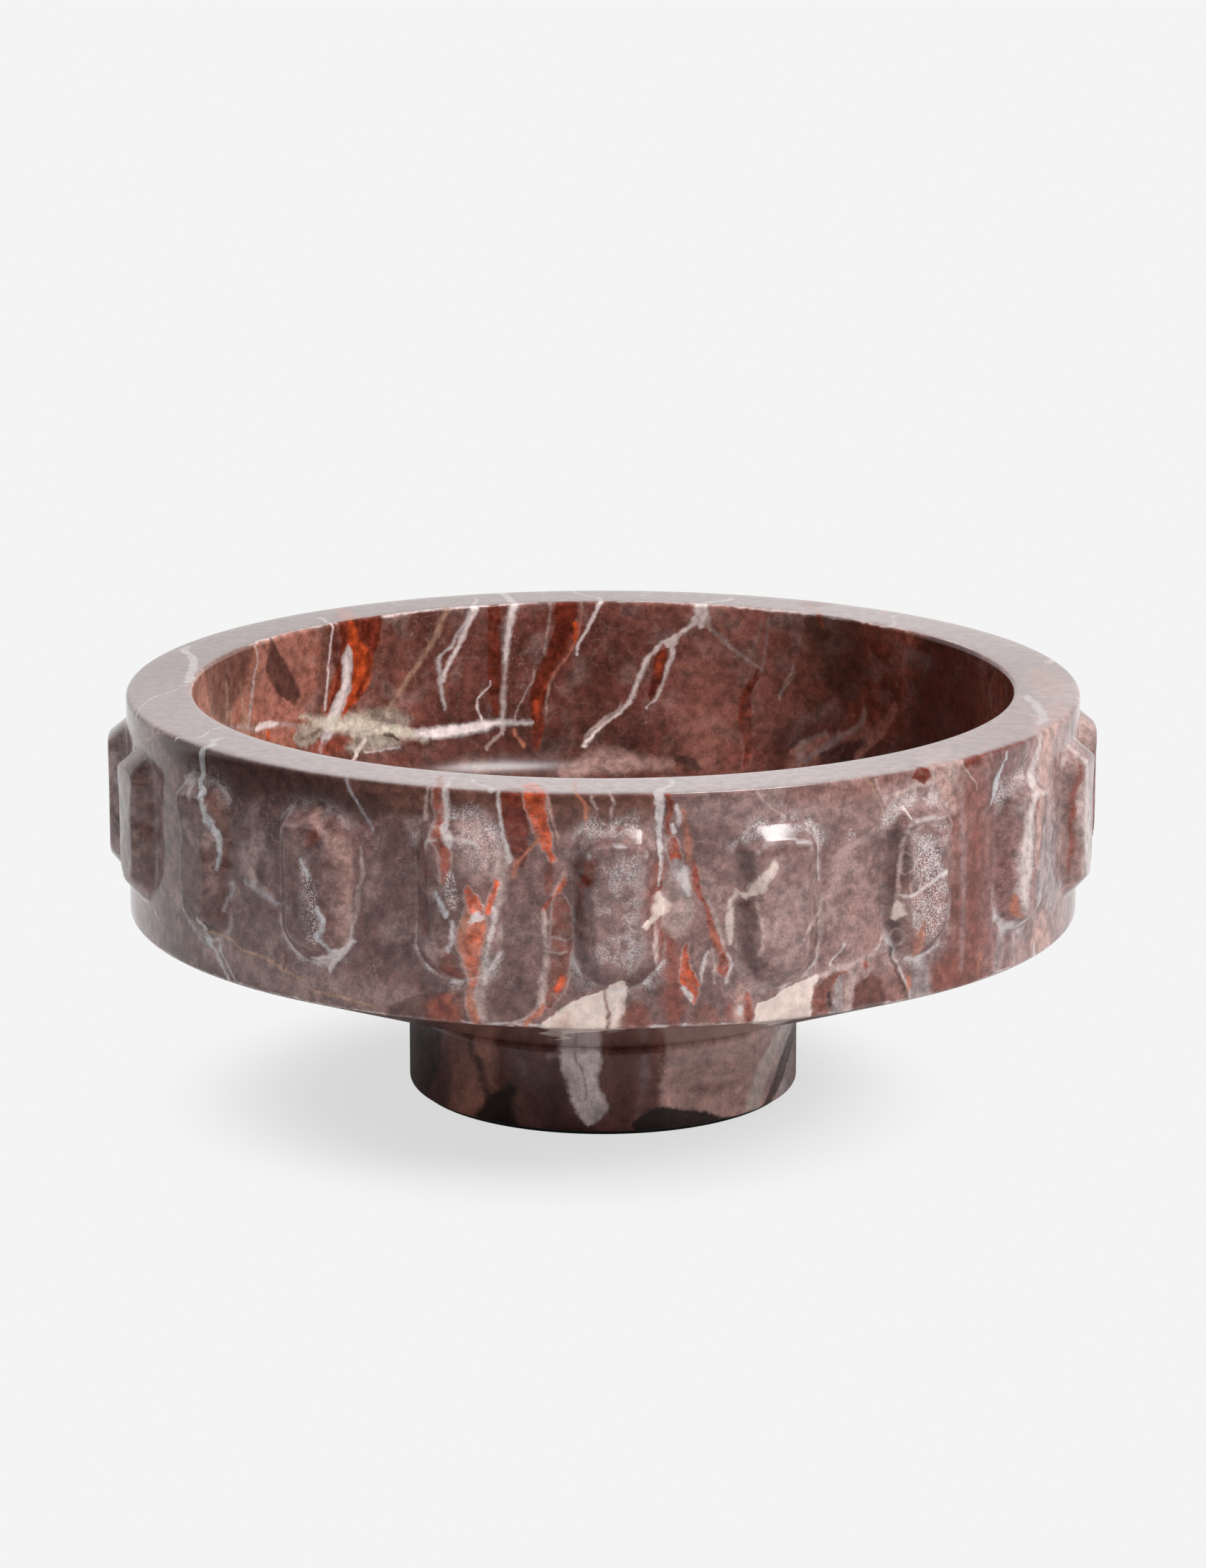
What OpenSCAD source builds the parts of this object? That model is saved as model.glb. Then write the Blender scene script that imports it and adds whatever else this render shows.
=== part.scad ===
// A heavy pedestal bowl of veined marble: a straight-walled basin with a ring of bevelled
// lugs carved on its outside, a conical underside, and a plain drum foot bonded below it.
// Millimetres, +Z up. The origin is on the table, under the middle of the bowl.
// Angles round the bowl are counted from the front (-Y), positive towards +X.

/* [Basin] */
// Diameter over the plain outer wall, without the lugs
bowl_d = 300; // [260:1:340]
// Height of the straight outer wall
wall_h = 70; // [66:1:90]
// Thickness of the wall at the rim
wall_t = 21; // [16:0.5:28]
// Height of the conical underside
cone_h = 32; // [24:1:40]
// Depth of the basin at its wall, where the wall line meets the floor
corner_depth = 56; // [50:1:62]
// Depth of the basin in the middle
middle_depth = 72; // [66:1:78]
// Radius of the blend between the inside wall and the floor
floor_blend_r = 30; // [10:1:35]
// Rounding of the outer edge of the rim
rim_round_out = 1.5; // [0.5:0.1:4]
// Rounding of the inner edge of the rim
rim_round_in = 1.5; // [0.5:0.1:4]

/* [Lugs] */
// Number of lugs round the wall
lug_count = 20; // [12:1:24]
// Angle of the first lug from the front, in degrees
lug_turn = 1.9; // [0:0.1:18]
// Height of a lug, bevels included
lug_h = 49; // [40:1:52]
// Width of a lug, bevels included
lug_w = 26; // [20:1:30]
// How far the flat face of a lug stands out from the wall
lug_proud = 6; // [3:0.5:9]
// Width of the bevel round a lug, seen from the front
lug_bevel = 6.5; // [4:0.5:8]
// Distance from the rim down to the top of a lug
lug_drop = 9.5; // [5:0.5:12]

/* [Foot] */
// Diameter of the drum foot
foot_d = 124; // [100:1:150]
// Height of the drum foot
foot_h = 27; // [24:1:45]
// Rounding of the bottom edge of the foot
foot_round = 2; // [0.5:0.1:4]

/* [Joint] */
// Thickness of the adhesive layer between foot and bowl
bond_t = 0.4; // [0.2:0.1:1]
// How far the adhesive stays back from the edge of the foot
bond_inset = 0.5; // [0.2:0.1:2]
// Diameter of the centring dowel
dowel_d = 12; // [8:0.5:16]
// Length of dowel that stands in the foot
dowel_in_foot = 16; // [10:1:20]
// Length of dowel that reaches into the bowl
dowel_in_bowl = 12; // [8:1:15]
// Radial clearance of the dowel in its holes
dowel_clear = 0.2; // [0.1:0.05:0.5]
// Clearance above the dowel in the bowl
dowel_end_clear = 0.6; // [0.3:0.1:2]

/* [Base pad] */
// Thickness of the felt pad
pad_t = 1.2; // [0.6:0.1:3]
// How far the pad stays back from the edge of the foot
pad_inset = 3; // [2:0.5:8]

/* [Hidden] */
$fn = 128;

// How far a cut runs past the face that it opens
overcut = 1;
// How far a lug runs into the wall behind it
lug_sink = 2;

bowl_r = bowl_d / 2;
inner_r = bowl_r - wall_t;
foot_r = foot_d / 2;

// Heights, from the table up
foot_z = pad_t;
foot_top_z = foot_z + foot_h;
land_z = foot_top_z + bond_t;
lower_edge_z = land_z + cone_h;
rim_z = lower_edge_z + wall_h;
corner_z = rim_z - corner_depth;
floor_z = rim_z - middle_depth;
lug_z = rim_z - lug_drop - lug_h / 2;

// The floor is part of a sphere that passes through the corner and the middle
dish_sag = middle_depth - corner_depth;
dish_r = (inner_r * inner_r + dish_sag * dish_sag) / (2 * dish_sag);
dish_z = floor_z + dish_r;

// Centre of the blend that touches both the inside wall and the floor
blend_x = inner_r - floor_blend_r;
blend_z = dish_z - sqrt(pow(dish_r - floor_blend_r, 2) - blend_x * blend_x);
// Where that blend meets the floor
blend_share = dish_r / (dish_r - floor_blend_r);
floor_edge_x = blend_x * blend_share;
floor_edge_z = dish_z + (blend_z - dish_z) * blend_share;

// Half widths of a lug at its face and at its sunk base
lug_face_r = lug_w / 2 - lug_bevel;
lug_base_r = lug_w / 2 + lug_sink * lug_bevel / lug_proud;

// The waste outside a rounded corner at the origin, whose solid lies towards -X and -Y
module corner_waste(r) {
    difference() {
        translate([-r, -r]) square(r + overcut);
        translate([-r, -r]) circle(r);
    }
}

// Half section of the hollow, from the floor to above the rim
module hollow_profile() {
    translate([0, blend_z]) square([inner_r, rim_z + overcut - blend_z]);
    translate([blend_x, blend_z]) circle(floor_blend_r);
    intersection() {
        translate([0, dish_z]) circle(dish_r);
        polygon([[0, floor_z - overcut], [floor_edge_x, floor_z - overcut],
                 [floor_edge_x, floor_edge_z], [blend_x, blend_z], [0, blend_z]]);
    }
}

// Half section of the basin
module basin_profile() {
    difference() {
        polygon([[0, land_z], [foot_r, land_z], [bowl_r, lower_edge_z], [bowl_r, rim_z], [0, rim_z]]);
        hollow_profile();
        translate([bowl_r, rim_z]) corner_waste(rim_round_out);
        translate([inner_r, rim_z]) mirror([1, 0]) corner_waste(rim_round_in);
    }
}

// One lug with round ends, lying on its back: +Z out of the wall and +Y up the wall
module lug() {
    thickness = lug_sink + lug_proud;
    straight = lug_h - lug_w;
    for (end = [-1, 1])
        translate([0, end * straight / 2, 0])
            cylinder(h = thickness, r1 = lug_base_r, r2 = lug_face_r);
    rotate([90, 0, 0])
        linear_extrude(straight, center = true)
            polygon([[-lug_base_r, 0], [lug_base_r, 0], [lug_face_r, thickness], [-lug_face_r, thickness]]);
}

// The ring of lugs at its place on the wall
module lug_ring() {
    for (i = [0 : lug_count - 1])
        rotate([0, 0, lug_turn + i * 360 / lug_count])
            translate([0, lug_sink - bowl_r, lug_z])
                rotate([90, 0, 0])
                    lug();
}

// A hole for the dowel, with its clearance
module dowel_hole(depth) {
    cylinder(h = depth, r = dowel_d / 2 + dowel_clear);
}

// Basin with its lugs, in one block of marble
module bowl() {
    color([0.45, 0.35, 0.34])
        difference() {
            union() {
                rotate_extrude() basin_profile();
                lug_ring();
            }
            translate([0, 0, land_z - overcut])
                dowel_hole(dowel_in_bowl + dowel_end_clear + overcut);
        }
}

// Drum foot of the same marble
module foot() {
    color([0.36, 0.26, 0.25])
        difference() {
            rotate_extrude()
                difference() {
                    translate([0, foot_z]) square([foot_r, foot_h]);
                    translate([foot_r, foot_z]) mirror([0, 1]) corner_waste(foot_round);
                }
            translate([0, 0, foot_top_z - dowel_in_foot])
                dowel_hole(dowel_in_foot + overcut);
        }
}

// Layer of stone adhesive between foot and bowl, open round the dowel
module bond_line() {
    color([0.62, 0.55, 0.50])
        translate([0, 0, foot_top_z])
            difference() {
                cylinder(h = bond_t, r = foot_r - bond_inset);
                translate([0, 0, -overcut]) dowel_hole(bond_t + 2 * overcut);
            }
}

// Steel pin that centres the foot under the bowl
module dowel() {
    color([0.70, 0.71, 0.72])
        translate([0, 0, foot_top_z - dowel_in_foot])
            cylinder(h = dowel_in_foot + bond_t + dowel_in_bowl, r = dowel_d / 2);
}

// Felt disc that the bowl stands on
module base_pad() {
    color([0.10, 0.14, 0.11])
        cylinder(h = pad_t, r = foot_r - pad_inset);
}

bowl();
foot();
bond_line();
dowel();
base_pad();
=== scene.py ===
"""A carved pedestal bowl of veined red-brown marble, on a plain pale floor.

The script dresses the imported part. Lengths are millimetres until a mesh is made. Places on the
stone are given as an azimuth, in degrees from the front (-Y) and positive towards +X, and a
reach: millimetres along the section of the bowl, counted so that it equals the height above the
table on the outer wall, goes on over the rim and runs down the inside to the middle.
"""

import math
from collections import namedtuple

import bpy
import numpy as np
from mathutils import Matrix, Vector


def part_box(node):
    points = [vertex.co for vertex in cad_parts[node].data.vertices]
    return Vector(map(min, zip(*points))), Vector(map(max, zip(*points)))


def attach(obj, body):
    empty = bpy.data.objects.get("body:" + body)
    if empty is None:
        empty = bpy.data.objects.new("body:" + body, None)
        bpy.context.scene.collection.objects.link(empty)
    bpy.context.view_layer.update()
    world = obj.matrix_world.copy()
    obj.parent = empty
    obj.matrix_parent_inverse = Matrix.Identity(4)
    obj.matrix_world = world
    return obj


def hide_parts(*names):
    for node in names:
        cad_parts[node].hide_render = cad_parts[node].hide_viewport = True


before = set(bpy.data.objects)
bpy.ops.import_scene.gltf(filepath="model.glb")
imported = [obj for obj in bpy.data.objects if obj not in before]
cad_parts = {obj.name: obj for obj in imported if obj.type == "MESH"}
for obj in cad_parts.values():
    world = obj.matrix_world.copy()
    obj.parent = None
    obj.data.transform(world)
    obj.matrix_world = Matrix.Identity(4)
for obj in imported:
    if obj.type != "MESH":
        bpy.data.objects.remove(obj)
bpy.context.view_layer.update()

MM = 0.001
QUARTER = math.pi / 2

# Sizes of the bowl and its foot, in millimetres
bowl_low, bowl_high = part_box("bowl")
foot_low, foot_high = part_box("foot")
RIM_Z = bowl_high.z / MM
LAND_Z = bowl_low.z / MM
FOOT_Z = foot_low.z / MM
FOOT_TOP_Z = foot_high.z / MM
FOOT_R = foot_high.x / MM
FOOT_ROUND = 2.0
BOWL_R = 150.0
WALL_T = 21.0
INNER_R = BOWL_R - WALL_T
CONE_H = 32.0
LOWER_Z = LAND_Z + CONE_H
CORNER_DEPTH = 56.0
MIDDLE_DEPTH = 72.0
MIDDLE_Z = RIM_Z - MIDDLE_DEPTH
FLOOR_BLEND_R = 30.0
RIM_ROUND_OUT = 1.5
RIM_ROUND_IN = 1.5
LOWER_ROUND = 1.4
HOLE_R = 6.2
BOWL_HOLE_DEPTH = 12.6
FOOT_HOLE_DEPTH = 16.6

# Bead at the edge of the foot that closes the joint: its width, and the gap between it and the bowl
LIP_W = 0.4
LIP_GAP = 0.01

# On the inner wall, reach and height add up to this
INNER_TURN = 2 * RIM_Z + WALL_T + (QUARTER - 2) * (RIM_ROUND_OUT + RIM_ROUND_IN)

# The stone is painted in sectors of the outer wall, which start at these azimuths, and in three parts
# that end or start at these reaches: the cone below the wall, the inside wall and the floor
SECTORS = {"left": -180.0, "front": -25.5, "right": 17.0}
CONE_TO = 59.5
INSIDE_FROM = 150.0
FLOOR_FROM = 216.0

# Sizes of the lugs, in millimetres and degrees
LUG_COUNT = 20
LUG_TURN = 1.9
LUG_H = 49.0
LUG_W = 26.0
LUG_PROUD = 6.0
LUG_BEVEL = 6.5
LUG_DROP = 9.5
LUG_TOP_CORNER = 6.5
LUG_TOP_BEVEL = 5.0
LUG_TOP_ARCH = 42.0
LUG_Z = RIM_Z - LUG_DROP - LUG_H / 2

# How much the lugs differ, in millimetres and degrees, and the seed of the first one
LUG_SPREAD = {
    "azimuth": 0.2, "z": 0.5, "half_w": 0.3, "half_h": 0.4, "lean": 0.8, "corner": 0.8, "proud": 0.12,
}
LUG_SEED = 100

# Half widths over which the corners at the foot and at the face of a bevel are rounded
FOOT_SOFT = 0.45
FACE_SOFT = 0.35

# Millimetres short of the upper end of a lug where its bevel starts to change and has changed
TOP_BEVEL_FADE = (14, 8)

# Waves of the chisel along the outline of a lug: height, and millimetres across and up for a radian. Near
# the upper end they are calmed by a share. A lug draws six phases, and its waves take the first of them
CHISEL_WAVES = [(0.22, math.inf, 3.1), (0.18, 2.3, 5.0), (0.14, 1.9, 1.4)]
CHISEL_CALM = 0.8
CHISEL_FADE = (10, 6)
PHASES = 6

# How far the chisel whitened each lug that the photograph shows: along its upper end, along its lower end
# and on its face
WHITENED = {
    -4: (0.2, 0.2, 0.0), -3: (0.3, 0.3, 0.0), -2: (0.3, 0.6, 0.05), -1: (0.7, 0.85, 0.05),
    0: (0.9, 0.7, 0.5), 1: (0.9, 0.6, 0.05), 2: (0.8, 0.7, 0.6), 3: (0.7, 0.7, 0.15), 4: (0.6, 0.4, 0.5),
}

# Most that a lug drawn by chance is whitened, and the share of that on its face
WHITENED_MOST = 0.9
WHITENED_FACE = 0.5

# Bands of frost along an end of a lug: middle and width, by the distance inside the outline, and the
# millimetres short of the end where the band starts and is full
TOP_FROST = (0.0, 2.6, 11, 4)
LOWER_FROST = (-0.4, 1.1, 12, 7)
HALO_FROST = (-2.5, 2.0, 8, 3)
HALO_SHARE = 0.35

# Distances inside the outline where the frost on the face of a lug starts and is full
FACE_FROST = (5.0, 8.5)

# Thin pale lines round a lug: all round, where they are faint, and round its lower end, which the chisel
# left, and along the top of its face: chisel whitening together with a painted highlight on that edge
CUT_W = 0.5
CUT_FAINT = 0.1
LOWER_CUT = (0.0, CUT_W, 20, 8)
CREST_FROST_AND_HIGHLIGHT = (LUG_TOP_BEVEL, 0.6, 9.5, 7)

# Outside the outline a lug has no height from this distance on
LUG_NEAR = 12

# Columns of the mesh round the bowl: fine on the lugs, coarser elsewhere
FINE = 960
PLAIN = 480

# Columns within one lug's share of the turn, in degrees from its middle: from, to and how many
LUG_COLUMNS = [(-9.0, -5.7, 5), (-5.7, -2.1, 16), (-2.1, 2.1, 6), (2.1, 5.7, 16), (5.7, 9.0, 5)]

# Rings of the mesh up the wall, which are close together at the ends of the lugs: how far the close ones
# run past an end and into the lug, the steps between the stretches, below the rim and above the lower
# edge of the wall, and the numbers
RINGS_PAST = 3.0
RINGS_INTO_LOW = 9.5
RINGS_INTO_HIGH = 10.5
RINGS_STEP = 1.5
RIM_RING_STEP = 2.2
EDGE_RING_STEP = 3.0
EDGE_RINGS = 3
LOW_RINGS = 20
MIDDLE_RINGS = 16
HIGH_RINGS = 22

# Rings of the other stretches, and the rings of the dish from which the columns are halved and halved again
ROUND_RINGS = 6
LAND_RINGS = 4
CONE_RINGS = 14
RIM_RINGS = 6
INNER_RINGS = 7
BLEND_RINGS = 14
DISH_RINGS = 16
DISH_HALVED = 5
DISH_QUARTERED = 11

# How far the first ring of the land stays off the hole, and the start of the cone off the edge of the land
HOLE_CLEAR = 0.4
CONE_CLEAR = (0.2, 0.05)

# Rings of the foot: how far the first one stays off the hole, the place of the next as a share of the
# radius, and how many there are on the rounding and up the side
FOOT_HOLE_CLEAR = 0.6
FOOT_MIDDLE = 0.5
FOOT_ROUND_RINGS = 7
FOOT_RINGS = 12


def arc(cx, cz, radius, start, end, steps):
    """Points of an arc in the section, with angles in degrees from +r towards +z."""
    turns = np.radians(np.linspace(start, end, steps))
    return [(cx + radius * math.cos(t), cz + radius * math.sin(t)) for t in turns]


def line(a, b, steps):
    """Points of a straight stretch in the section, both ends included."""
    return [(a[0] + (b[0] - a[0]) * t, a[1] + (b[1] - a[1]) * t) for t in np.linspace(0, 1, steps)]


def soft_step(value, half_width):
    """The positive part of a length, with its corner rounded over a half width."""
    rounded = (value + half_width) ** 2 / (4 * half_width)
    return np.where(value < -half_width, 0.0, np.where(value > half_width, value, rounded))


def ease(value, low, high):
    """0 below low, 1 above high and smooth between."""
    t = np.clip((value - low) / (high - low), 0, 1)
    return t * t * (3 - 2 * t)


class Lug:
    """One carved lug, a little different from its neighbours."""

    def __init__(self, index):
        draw = np.random.default_rng(LUG_SEED + index)
        stray = {name: draw.normal(0, spread) for name, spread in LUG_SPREAD.items()}
        self.azimuth = LUG_TURN + index * 360 / LUG_COUNT + stray["azimuth"]
        self.z = LUG_Z + stray["z"]
        self.half_w = LUG_W / 2 + stray["half_w"]
        self.half_h = LUG_H / 2 + stray["half_h"]
        self.lean = math.radians(stray["lean"])
        self.top_corner = LUG_TOP_CORNER + stray["corner"]
        self.proud = LUG_PROUD + stray["proud"]
        self.phases = draw.uniform(0, 2 * math.pi, PHASES)
        place = (index + LUG_COUNT // 2) % LUG_COUNT - LUG_COUNT // 2
        by_chance = draw.uniform(0, WHITENED_MOST, 3) * (1, 1, WHITENED_FACE)
        self.whitened = WHITENED.get(place, by_chance)

    def local(self, azimuth, z):
        """Millimetres across and up from the middle of the lug."""
        across = np.radians((azimuth - self.azimuth + 180) % 360 - 180) * BOWL_R
        up = z - self.z
        u = across * math.cos(self.lean) - up * math.sin(self.lean)
        v = across * math.sin(self.lean) + up * math.cos(self.lean)
        return u, v

    def near_end(self, up, start, full):
        """0 to 1 between two distances short of the end of the lug."""
        return ease(up, self.half_h - start, self.half_h - full)

    def end_band(self, distance, up, middle, width, start, full):
        """A soft band that follows the outline at one end of the lug."""
        return np.exp(-((distance - middle) / width) ** 2) * self.near_end(up, start, full)

    def inside(self, azimuth, z):
        """Distance inside the outline of the lug, in millimetres: negative outside."""
        u, v = self.local(azimuth, z)
        corner = np.where(v > 0, self.top_corner, self.half_w)
        arch = np.where(v > 0, u ** 2 / (2 * LUG_TOP_ARCH), 0.0)
        qx = np.abs(u) - self.half_w + corner
        qy = np.abs(v) + arch - self.half_h + corner
        outside = np.hypot(np.maximum(qx, 0), np.maximum(qy, 0))
        distance = corner - outside - np.minimum(np.maximum(qx, qy), 0)
        carved = np.zeros(len(azimuth))
        for (height, across, up), phase in zip(CHISEL_WAVES, self.phases):
            carved += height * np.sin(u / across + v / up + phase)
        return distance + carved * (1 - CHISEL_CALM * self.near_end(v, *CHISEL_FADE))

    def height(self, azimuth, z, distance):
        """How far the stone stands out of the wall at a distance inside the outline."""
        v = self.local(azimuth, z)[1]
        bevel = LUG_BEVEL - (LUG_BEVEL - LUG_TOP_BEVEL) * self.near_end(v, *TOP_BEVEL_FADE)
        foot = soft_step(distance, FOOT_SOFT)
        face = soft_step(distance - bevel, FACE_SOFT)
        return self.proud / bevel * (foot - face)

    def frost(self, azimuth, z, distance):
        """How whitened the stone is by the chisel, from 0 to 1."""
        v = self.local(azimuth, z)[1]
        above, below, face = self.whitened
        top = self.end_band(distance, v, *TOP_FROST)
        lower = self.end_band(distance, -v, *LOWER_FROST)
        halo = HALO_SHARE * self.end_band(distance, -v, *HALO_FROST)
        return np.clip(above * top + below * (lower + halo) + face * ease(distance, *FACE_FROST), 0, 1)

    def outline(self, azimuth, z, distance):
        """How clear the chisel's line is round the lug, and along the top of its face, where it is partly a
        painted highlight.
        """
        v = self.local(azimuth, z)[1]
        above, below, _ = self.whitened
        faint = CUT_FAINT * np.exp(-(distance / CUT_W) ** 2)
        lower = (1 - CUT_FAINT) * below * self.end_band(distance, -v, *LOWER_CUT)
        # Along the top of the face: chisel whitening with a painted highlight on the edge
        crest = above * self.end_band(distance, v, *CREST_FROST_AND_HIGHLIGHT)
        return np.clip(faint + lower + crest, 0, 1)


lugs = [Lug(i) for i in range(LUG_COUNT)]


def columns():
    """Azimuths of the fine columns, crowded where the sides of the lugs are."""
    shares = [np.linspace(low, high, count, endpoint=False) for low, high, count in LUG_COLUMNS]
    one = np.concatenate(shares) + LUG_TURN
    return np.concatenate([one + i * 360 / LUG_COUNT for i in range(LUG_COUNT)])


def wall_rings(low, high):
    """Heights of the rings up the wall, from its lower edge to the rounding of the rim."""
    lug_low = LUG_Z - LUG_H / 2
    lug_high = LUG_Z + LUG_H / 2
    close_low = lug_low + RINGS_INTO_LOW
    close_high = lug_high - RINGS_INTO_HIGH
    return [
        *(low + step * EDGE_RING_STEP for step in range(EDGE_RINGS)),
        *np.linspace(lug_low - RINGS_PAST, close_low, LOW_RINGS),
        *np.linspace(close_low + RINGS_STEP, close_high - RINGS_STEP, MIDDLE_RINGS),
        *np.linspace(close_high, lug_high + RINGS_PAST, HIGH_RINGS),
        high - RIM_RING_STEP,
        high,
    ]


def section():
    """The section of the bowl from the dowel hole round the outside to the middle of the floor.

    Gives stretches of (r, z) points with the number of columns of each stretch."""
    slope = math.atan2(LOWER_Z - LAND_Z, BOWL_R - FOOT_R)
    set_back = LOWER_ROUND * math.tan((QUARTER - slope) / 2)
    edge_z = LOWER_Z + set_back
    cone_start = (FOOT_R + CONE_CLEAR[0], LAND_Z + CONE_CLEAR[1])
    cone_end = (BOWL_R - set_back * math.cos(slope), LOWER_Z - set_back * math.sin(slope))
    lower = arc(BOWL_R - LOWER_ROUND, edge_z, LOWER_ROUND, math.degrees(slope) - 90, 0, ROUND_RINGS)
    rim_out = BOWL_R - RIM_ROUND_OUT
    rim_in = INNER_R + RIM_ROUND_IN
    wall_top = RIM_Z - RIM_ROUND_OUT
    inner_top = RIM_Z - RIM_ROUND_IN
    sag = MIDDLE_DEPTH - CORNER_DEPTH
    dish_r = (INNER_R ** 2 + sag ** 2) / (2 * sag)
    dish_z = MIDDLE_Z + dish_r
    blend_x = INNER_R - FLOOR_BLEND_R
    blend_z = dish_z - math.sqrt((dish_r - FLOOR_BLEND_R) ** 2 - blend_x ** 2)
    tilt = math.atan2(blend_x, dish_z - blend_z)
    dish = []
    for share in np.linspace(1, 0, DISH_RINGS)[1:-1]:
        r = dish_r * math.sin(tilt) * share
        dish.append((r, dish_z - math.sqrt(dish_r ** 2 - r ** 2)))
    return [
        (line((HOLE_R, LAND_Z + BOWL_HOLE_DEPTH), (HOLE_R, LAND_Z), 2), PLAIN // 4),
        (line((HOLE_R + HOLE_CLEAR, LAND_Z), (FOOT_R, LAND_Z), LAND_RINGS), PLAIN // 2),
        (line(cone_start, cone_end, CONE_RINGS)[1:-1], PLAIN),
        (lower[:-1], PLAIN),
        ([(BOWL_R, z) for z in wall_rings(edge_z, wall_top)], FINE),
        (arc(rim_out, wall_top, RIM_ROUND_OUT, 0, 90, ROUND_RINGS)[1:], PLAIN),
        (line((rim_out, RIM_Z), (rim_in, RIM_Z), RIM_RINGS)[1:-1], PLAIN),
        (arc(rim_in, inner_top, RIM_ROUND_IN, 90, 180, ROUND_RINGS), PLAIN),
        (line((INNER_R, inner_top), (INNER_R, blend_z), INNER_RINGS)[1:-1], PLAIN),
        (arc(blend_x, blend_z, FLOOR_BLEND_R, 0, math.degrees(tilt) - 90, BLEND_RINGS), PLAIN),
        (dish[:DISH_HALVED], PLAIN),
        (dish[DISH_HALVED:DISH_QUARTERED], PLAIN // 2),
        (dish[DISH_QUARTERED:], PLAIN // 4),
    ]


def stitch(first, first_count, second, second_count):
    """Faces between two rings of the same count, or where one has twice the columns of the other."""
    faces = []
    for j in range(min(first_count, second_count)):
        k = (j + 1) % min(first_count, second_count)
        if first_count == second_count:
            faces.append((first + j, first + k, second + k, second + j))
        elif first_count > second_count:
            a, b, c = first + 2 * j, first + 2 * j + 1, first + (2 * j + 2) % first_count
            faces += [(a, b, second + j), (b, c, second + k), (b, second + k, second + j)]
        else:
            a, b, c = second + 2 * j, second + 2 * j + 1, second + (2 * j + 2) % second_count
            faces += [(first + j, b, a), (first + k, c, b), (first + j, first + k, b)]
    return faces


def lathe(name, rings, cap_low, cap_high):
    """A closed mesh from rings of points, from the lowest ring to the last, with a cap at each end."""
    starts = np.cumsum([0] + [len(ring) for ring in rings])
    faces = []
    for i in range(len(rings) - 1):
        faces += stitch(starts[i], len(rings[i]), starts[i + 1], len(rings[i + 1]))
    coords = np.vstack(rings)
    low_tip, high_tip = len(coords), len(coords) + 1
    coords = np.vstack([coords, [cap_low], [cap_high]])
    count = len(rings[0])
    faces += [(low_tip, (j + 1) % count, j) for j in range(count)]
    count, base = len(rings[-1]), starts[-2]
    faces += [(high_tip, base + j, base + (j + 1) % count) for j in range(count)]
    mesh = bpy.data.meshes.new(name)
    mesh.from_pydata((coords * MM).tolist(), [], [tuple(int(v) for v in face) for face in faces])
    mesh.update()
    mesh.polygons.foreach_set("use_smooth", [True] * len(mesh.polygons))
    piece = bpy.data.objects.new(name, mesh)
    bpy.context.scene.collection.objects.link(piece)
    return piece


def ring(azimuth, radius, z):
    """Points at one height, at a radius for each azimuth."""
    turn = np.radians(azimuth)
    return np.column_stack([radius * np.sin(turn), -radius * np.cos(turn), np.full(len(turn), z)])


def store(piece, name, kind, values):
    """Keeps a number or a vector per vertex for the materials."""
    layer = piece.data.attributes.new(name, kind, "POINT")
    layer.data.foreach_set("vector" if kind == "FLOAT_VECTOR" else "value", np.float32(values).ravel())


def paint_slot(face, reach):
    """Number of the material that paints a face of the bowl."""
    middle = reach[list(face.vertices)].mean()
    if middle < CONE_TO:
        return len(SECTORS)
    if middle > INSIDE_FROM:
        return len(SECTORS) + (2 if middle > FLOOR_FROM else 1)
    turn = math.degrees(math.atan2(face.center.x, -face.center.y))
    return max(i for i, start in enumerate(SECTORS.values()) if turn >= start)


def carving(azimuth, z):
    """Height, frost and outline of the lugs round the wall, at one height above the table."""
    height, frost, outline = np.zeros((3, len(azimuth)))
    for lug in lugs:
        distance = lug.inside(azimuth, z)
        near = distance > -LUG_NEAR
        height[near] += lug.height(azimuth[near], z, distance[near])
        frost = np.maximum(frost, lug.frost(azimuth, z, distance))
        outline = np.maximum(outline, lug.outline(azimuth, z, distance))
    return height, frost, outline


def make_bowl():
    """The bowl in one mesh, which keeps the place, frost and outline at each vertex for its materials.

    The tips of its two caps come last, and count as turned to the front."""
    rings, reach, frost, outline = [], [], [], []
    run, last, lower_run = 0.0, None, None
    turns = columns()
    for points, count in section():
        azimuth = turns[::FINE // count]
        for r, z in points:
            if last is not None:
                run += math.hypot(r - last[0], z - last[1])
            last = (r, z)
            if count == FINE and lower_run is None:
                lower_run = run - z
            carved = carving(azimuth, z) if count == FINE else np.zeros((3, count))
            rings.append(ring(azimuth, r + carved[0], z))
            reach.append(np.full(count, run))
            frost.append(carved[1])
            outline.append(carved[2])
    piece = lathe("bowl_stone", rings, (0, 0, LAND_Z + BOWL_HOLE_DEPTH), (0, 0, MIDDLE_Z))
    reach = np.concatenate(reach + [[-HOLE_R], [run + last[0]]]) - lower_run
    tip = [[0, -1, 0]]
    turn = np.vstack(rings + [tip, tip])[:, :2]
    store(piece, "spot", "FLOAT_VECTOR", np.column_stack([turn, reach]))
    store(piece, "frost", "FLOAT", np.concatenate(frost + [[0.0], [0.0]]))
    store(piece, "outline", "FLOAT", np.concatenate(outline + [[0.0], [0.0]]))
    slots = [paint_slot(face, reach) for face in piece.data.polygons]
    piece.data.polygons.foreach_set("material_index", slots)
    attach(piece, "root")
    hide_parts("bowl")
    return piece


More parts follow.
